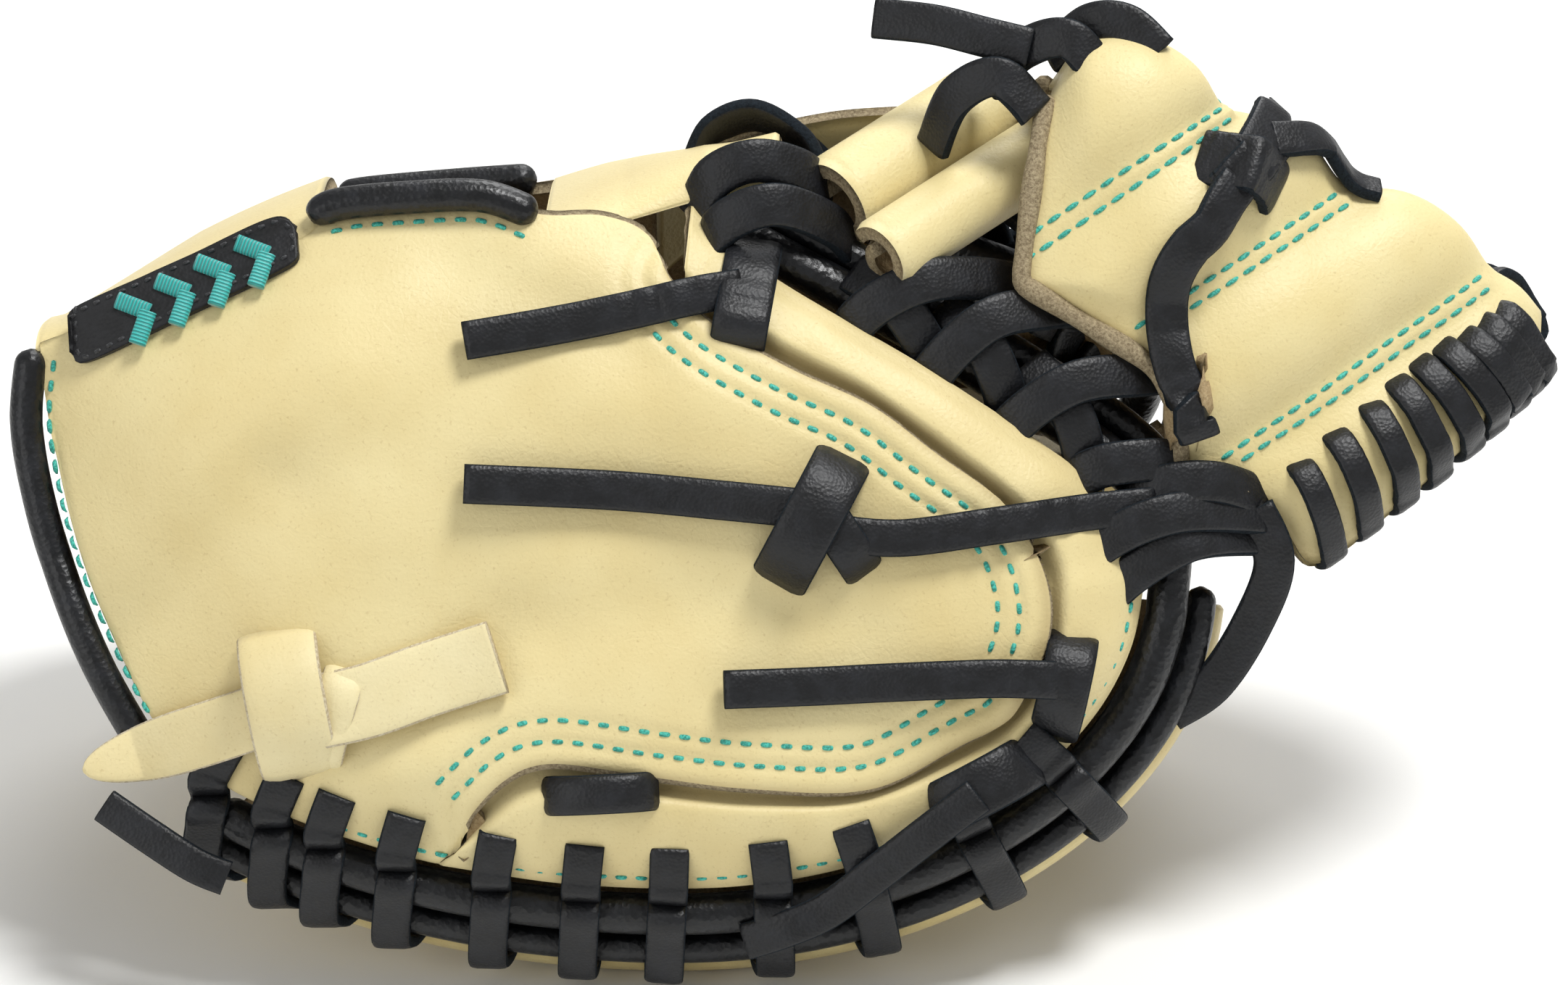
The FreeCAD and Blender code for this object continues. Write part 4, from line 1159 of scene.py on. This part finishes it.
def webSurface(t, w, drop=0.0):
    # t from the base to the tip, w from the thumb edge (0) over the ridge (0.5) to the finger edge
    t, w = np.broadcast_arrays(np.asarray(t, float), np.asarray(w, float))
    low = spline(web["low"], t)
    foot = place(thumb, low[..., 0], low[..., 1], mitt["palm"] - web["tip"] * t ** 2) / mm
    top = spline(web["ridge"], t)
    share = np.abs(1 - 2 * w)
    y = (foot[..., 1] + drop * 0.75) * share
    z = foot[..., 2] + (top[..., 1] - foot[..., 2]) * (1 - share ** 1.7) - drop * (1 - 0.45 * share)
    x = top[..., 0] + (foot[..., 0] - top[..., 0]) * share
    return np.stack([x, np.where(w < 0.5, y, -y), z], -1) * mm


def faceOn(points):
    # x and rise of a point as seen square to the thumb half
    flat = np.asarray(points) / mm
    rise = (np.abs(flat[..., 1]) * -math.cos(slope)
            + (flat[..., 2] - mitt["rest"]) * math.sin(slope) + crease * math.cos(slope) ** 2)
    return np.stack([flat[..., 0], rise], -1)


webT, webW = np.meshgrid(np.linspace(0, 1, 170), np.linspace(0, 0.5, 170), indexing="ij")
webSeen = faceOn(webSurface(webT, webW)).reshape(-1, 2)


def webSpots(flat):
    # t and w of the web's surface under each (x, rise)
    flat = np.asarray(flat, float)
    found = [int(np.argmin(((webSeen - p) ** 2).sum(1))) for p in flat]
    return np.stack([webT.ravel()[found], webW.ravel()[found]], -1)


def webPuff(points, t, w):
    # swells between the double rows of stitches, and dies away towards every edge
    seen = faceOn(points)
    gap = np.full(seen.shape[:-1], 1e9)
    for first, second in zip(web["rows"][::2], web["rows"][1::2]):
        centre = (evenly(first, 60) + evenly(second, 60)) / 2
        gap = np.minimum(gap, nearest(seen[..., 0], seen[..., 1], centre))
    edge = np.minimum(np.minimum(t, 1 - t) * 9, np.minimum(w, 1 - w) * 16)
    height = web["puff"] * (1 - np.exp(-(gap / 7.5) ** 2)) + 0.8 * np.exp(-(gap / 1.0) ** 2)
    wave = 0.5 * np.sin(seen[..., 0] / 7 + seen[..., 1] / 9)
    return (height + wave) * smooth(edge)


def webPiece(name, drop, thick, step, puffed, node):
    rows, columns = int(150 / step), int(170 / step)
    t, w = np.meshgrid(np.linspace(0, 1, rows), np.linspace(0, 1, columns), indexing="ij")
    grid = webSurface(t, w, drop)
    towards = np.zeros(grid.shape)
    towards[..., 2] = 1
    if puffed:
        normal, _ = gridNormals(grid, towards)
        grid = grid + normal * (webPuff(grid, t, w) * mm)[..., None]
        edgeWear = 0.4 * np.exp(-(np.minimum(np.minimum(t, 1 - t) * 120,
                                              np.minimum(w, 1 - w) * 150) / 2.5) ** 2)
    else:
        edgeWear = np.zeros(t.shape)
    return settle(leatherSheet(name, grid, towards, thick, webSkins, edgeWear),
                  nodes=[node], cross=True)


webPiece("webBack", 0.0, 3.0, 1.4, True, "web_back")
webPiece("webFront", 4.0, 3.0, 2.2, False, "web_front")


def averaged(points, span):
    # running mean over span points, with the ends held
    padded = np.pad(points, ((span // 2, span // 2), (0, 0)), "edge")
    kernel = np.ones(span) / span
    return np.stack([np.convolve(column, kernel, "valid") for column in padded.T], -1)


def webCurve(flat, count=60):
    # curve on the thumb side of the web through (x, rise) points
    spots = webSpots(evenly(flat, count))
    spots = averaged(spots, 7)
    base = webSurface(spots[:, 0], spots[:, 1])
    d = 0.004
    normal = np.cross(webSurface(spots[:, 0] + d, spots[:, 1]) - webSurface(spots[:, 0] - d, spots[:, 1]),
                      webSurface(spots[:, 0], spots[:, 1] + d) - webSurface(spots[:, 0], spots[:, 1] - d))
    normal /= np.linalg.norm(normal, axis=1, keepdims=True)
    if (normal @ outward(thumb)).mean() < 0:
        normal = -normal
    swell = webPuff(base, spots[:, 0], spots[:, 1])
    return base + normal * swell[:, None] * mm, normal


def webStitches(name, mirror):
    bundle = Bundle()
    for row in web["rows"]:
        path, normal = webCurve(row, 90)
        run = np.r_[0, np.cumsum(np.linalg.norm(np.diff(path, axis=0), axis=1))]
        spots = np.linspace(0, run[-1], int(run[-1] / (3.8 * mm)) + 1)
        for a, b in zip(spots[:-1], spots[1:]):
            s = a + (b - a) * np.linspace(0.12, 0.88, 6)
            line = np.stack([np.interp(s, run, path[:, k]) for k in range(3)], -1)
            up = normal[np.searchsorted(run, (a + b) / 2).clip(0, len(normal) - 1)]
            bow = 0.3 * (1 - np.linspace(-1, 1, 6) ** 4) - 0.25
            line = line + up * bow[:, None] * mm
            if mirror:
                line = line * farSide
            bundle.add(*rollBody(line, np.array([0.25, 0.45, 0.5, 0.5, 0.45, 0.25]) * mm, 6))
    return settle(bundle.piece(name, [skin["thread"]]), cross=True)


webStitches("webStitchesThumb", False)
webStitches("webStitchesFinger", True)


def webLip(name, mirror):
    # thick raw edge of the web where it turns outwards
    t = np.r_[np.zeros(40), np.linspace(0, 0.52, 90)[1:]]
    w = np.r_[np.linspace(0.46, 0, 40), np.zeros(89)]
    path = averaged(webSurface(t, w) + outward(thumb) * 0.6 * mm, 5)
    if mirror:
        path = path * farSide
    bundle = Bundle()
    size = roundEnds(path, 1.9 * mm) * (1 + 0.10 * np.sin(np.arange(len(path)) / 3.1))
    bundle.add(*rollBody(path, size, 10))
    return settle(bundle.piece(name, [skin["edge"]]), cross=True)


webLip("webLipThumb", False)
webLip("webLipFinger", True)
print("web done")


# web laces: whips over its lower edge, the knot and its tails

webWhip = {"holes": [(95.7, 97), (102.3, 102.8), (109, 108), (114.5, 112.7), (119, 116.4),
                     (123.4, 119.3), (127.6, 121), (131, 123.4), (134.5, 125.6)],
           "edge": [(103, 79.5), (110, 84.6), (117, 89.6), (123.5, 94.6), (130, 99.6),
                    (135.5, 103.4), (140, 107), (143, 110), (145, 113)]}


def webWhips(name, mirror):
    bundle = Bundle()
    for hole, edge in zip(webWhip["holes"], webWhip["edge"]):
        hole, edge = np.array(hole), np.array(edge)
        path, normal = webCurve([hole, (hole * 2 + edge) / 3, (hole + edge * 2) / 3, edge], 30)
        t = np.linspace(0, 1, 30)
        path = path + normal * (np.interp(t, [0, 0.1, 0.3, 0.85, 1], [-2.2, 0.8, 1.8, 2.2, 1.4])
                                * mm)[:, None]
        down = np.array([0.3, 0.0, -0.6])
        # over the edge and back under it
        tail = path[-1] + np.outer(np.sin(np.linspace(0, 1, 8)[1:] * 1.6), down) * 4 * mm
        tail = tail - normal[-1] * (1 - np.cos(np.linspace(0, 1, 8)[1:] * 2.4))[:, None] * 4 * mm
        path = np.concatenate([path, tail])
        if mirror:
            path = path * farSide
        up = np.concatenate([normal, np.repeat(normal[-1:], 7, 0) + np.outer(np.linspace(0, 1.5, 7), down)])
        if mirror:
            up = up * farSide
        bundle.add(*laceBody(path, up, 5.4 * mm, 2.2 * mm))
    return bundle.piece(name, laceSkins)


settle(webWhips("webWhipsThumb", False), nodes=["web_edge_lace"], cross=True)
settle(webWhips("webWhipsFinger", True), cross=True)


def webLace(bundle, flat, width, heights, count=40):
    path, normal = webCurve(flat, count)
    lifts = np.interp(np.linspace(0, 1, count), np.linspace(0, 1, len(heights)), heights)
    bundle.add(*laceBody(path + normal * lifts[:, None] * mm, normal, width * mm,
                         mitt["laceThick"] * mm))


webKnot = Bundle()
webLace(webKnot, [(83, 149), (76, 140), (71.5, 131), (71.5, 120), (74, 110), (77, 101)], 8.0,
        [3.0, 2.0, 1.8, 1.8, 1.8, 2.6])
webLace(webKnot, [(84, 152), (88, 158), (91.5, 164)], 8.0, [3.6, 3.4, 3.0])
webLace(webKnot, [(88, 155), (98, 153.6), (106, 151), (112, 146.5)], 7.0, [2.6, 2.2, 2.0, 0.5])
webLace(webKnot, [(77, 153.5), (84, 150.5), (91, 147)], 11.0, [-0.5, 5.6, -0.5])
webLace(webKnot, [(80, 146), (85, 151.5), (90, 156)], 9.0, [0.5, 4.2, 0.5])
settle(webKnot.piece("webKnot", laceSkins),
       nodes=["web_knot_lace"], cross=True)


# rolls at the foot of the web: leather wound on itself, its ends raw

rollAxis = (0.64, 0.60, 0.16)


def leatherRoll(name, start, radius, long, wall, turns, count=90):
    angle = np.linspace(0, turns * 2 * math.pi, count) + 0.6
    reach = radius - (wall + 0.4) * (angle - angle[0]) / (2 * math.pi) * 0.95
    axis = np.array(rollAxis) / np.linalg.norm(rollAxis)
    side = np.cross([0, 0, 1], axis)
    side /= np.linalg.norm(side)
    top = np.cross(axis, side)
    along = np.linspace(0, long, 26)
    ring = side * np.cos(angle)[:, None] + top * np.sin(angle)[:, None]
    grid = (np.array(start) + axis * along[:, None, None] + ring[None] * reach[None, :, None]) * mm
    towards = np.broadcast_to(ring[None], grid.shape)
    return leatherSheet(name, grid, towards, wall, webSkins)


settle(leatherRoll("webBaseRoll", (10, -6.5, 134.5), 10.4, 44, 3.8, 1.06), finger,
       ["web_base_roll"])
settle(leatherRoll("webCurlRoll", (18, -22.0, 131.0), 8.2, 46, 3.4, 1.06),
       nodes=["web_curl_roll"], cross=True)
print("rolls done")

# laces by (x, rise, level): over the rolls, and from the tip to the low end of the web
tieLaces = {"over": [[(28, 156, 4), (32, 165, 11), (40, 168.5, 15), (47, 162, 14)],
                     [(39, 168, 3), (45, 174, 11), (53, 175.6, 15), (59, 169, 14)],
                     [(50, 173, 5), (57, 178.6, 11), (64, 178.5, 13), (70, 173, 14)],
                     [(46, 174, 13), (38, 176, 12), (28, 178.6, 10), (17, 180, 7)]],
            "low": [[(54, 72, 9), (58, 80.5, 15.5), (72, 87, 17), (90, 87, 8)],
                    [(57, 67, 8.5), (64, 75, 14.5), (76, 82, 15), (89, 83, 6)],
                    [(88, 88, 9), (92, 78, 7), (88, 66, 3), (81, 55, 0), (73, 49.6, -2)],
                    [(62, 86, 9), (70, 92, 15), (80, 93, 14), (90, 90, 7)]]}
for name, width in (("over", 7.6), ("low", 7.8)):
    for side in (thumb, finger) if name == "low" else (thumb,):
        bundle = Bundle()
        for curve in tieLaces[name]:
            flat = evenly(curve, 36)
            path = place(side, flat[:, 0], flat[:, 1], flat[:, 2])
            bundle.add(*laceBody(path, bowUp(path, side), width * mm, mitt["laceThick"] * mm))
        settle(bundle.piece(name + "Laces" + sideName[side].title(),
                            laceSkins), cross=True)

# upright edge of the far half behind the laces, raw along its top
flapTop = evenly([(-24, 147.5), (-16, 154), (-4, 158.5), (10, 161.5), (24, 162.5)], 60)
down = np.linspace(0, 1, 14)
flap = place(thumb, flapTop[:, None, 0] + 0 * down, flapTop[:, None, 1] - 16 * down[None, :],
             -7 - 12 * down[None, :] ** 0.8)
settle(leatherSheet("farEdge", flap, outward(thumb), 2.6,
                    [skin["back"], skin["edge"], skin["edge"]]), finger)


# floor, light and camera

bpy.ops.mesh.primitive_plane_add(size=8)
floor = bpy.context.object
floor.name = "floor"
ground = Graph("paleFloor")
floor.data.materials.append(ground.finish(rgb("F4F4F2"), 0.9))


def aim(item, spot, target):
    item.location = spot
    direction = np.array(target) - np.array(spot)
    item.rotation_euler = (math.acos(-direction[2] / np.linalg.norm(direction)), 0,
                           math.atan2(direction[1], direction[0]) - math.pi / 2)


def areaLight(name, spot, size, power, target=(0, 0, 0.08)):
    data = bpy.data.lights.new(name, "AREA")
    data.shape = "DISK"
    data.size = size
    data.energy = power
    item = bpy.data.objects.new(name, data)
    bpy.context.collection.objects.link(item)
    aim(item, spot, target)
    return item


lamps = [areaLight("keyLight", (0.45, -0.15, 1.5), 0.50, 19),
         areaLight("fillLight", (-1.1, -1.0, 0.7), 1.1, 4.5),
         areaLight("backLight", (0.2, 1.0, 1.0), 0.8, 8)]
bpy.context.scene.view_settings.view_transform = "Standard"
world = bpy.data.worlds.new("softWorld")
bpy.context.scene.world = world
world.use_nodes = True
world.node_tree.nodes["Background"].inputs[0].default_value = (1, 1, 1, 1)
world.node_tree.nodes["Background"].inputs[1].default_value = 0.42

view = {"lens": 150, "sensor": 36, "distance": 1.218, "rise": 91, "level": 15}
camera = bpy.data.objects.new("camera", bpy.data.cameras.new("camera"))
bpy.context.collection.objects.link(camera)
camera.data.lens = view["lens"]
camera.data.sensor_width = view["sensor"]
target = place(thumb, 0, view["rise"], view["level"])
aim(camera, tuple(target + outward(thumb) * view["distance"]), tuple(target))
bpy.context.scene.camera = camera

print("finished")
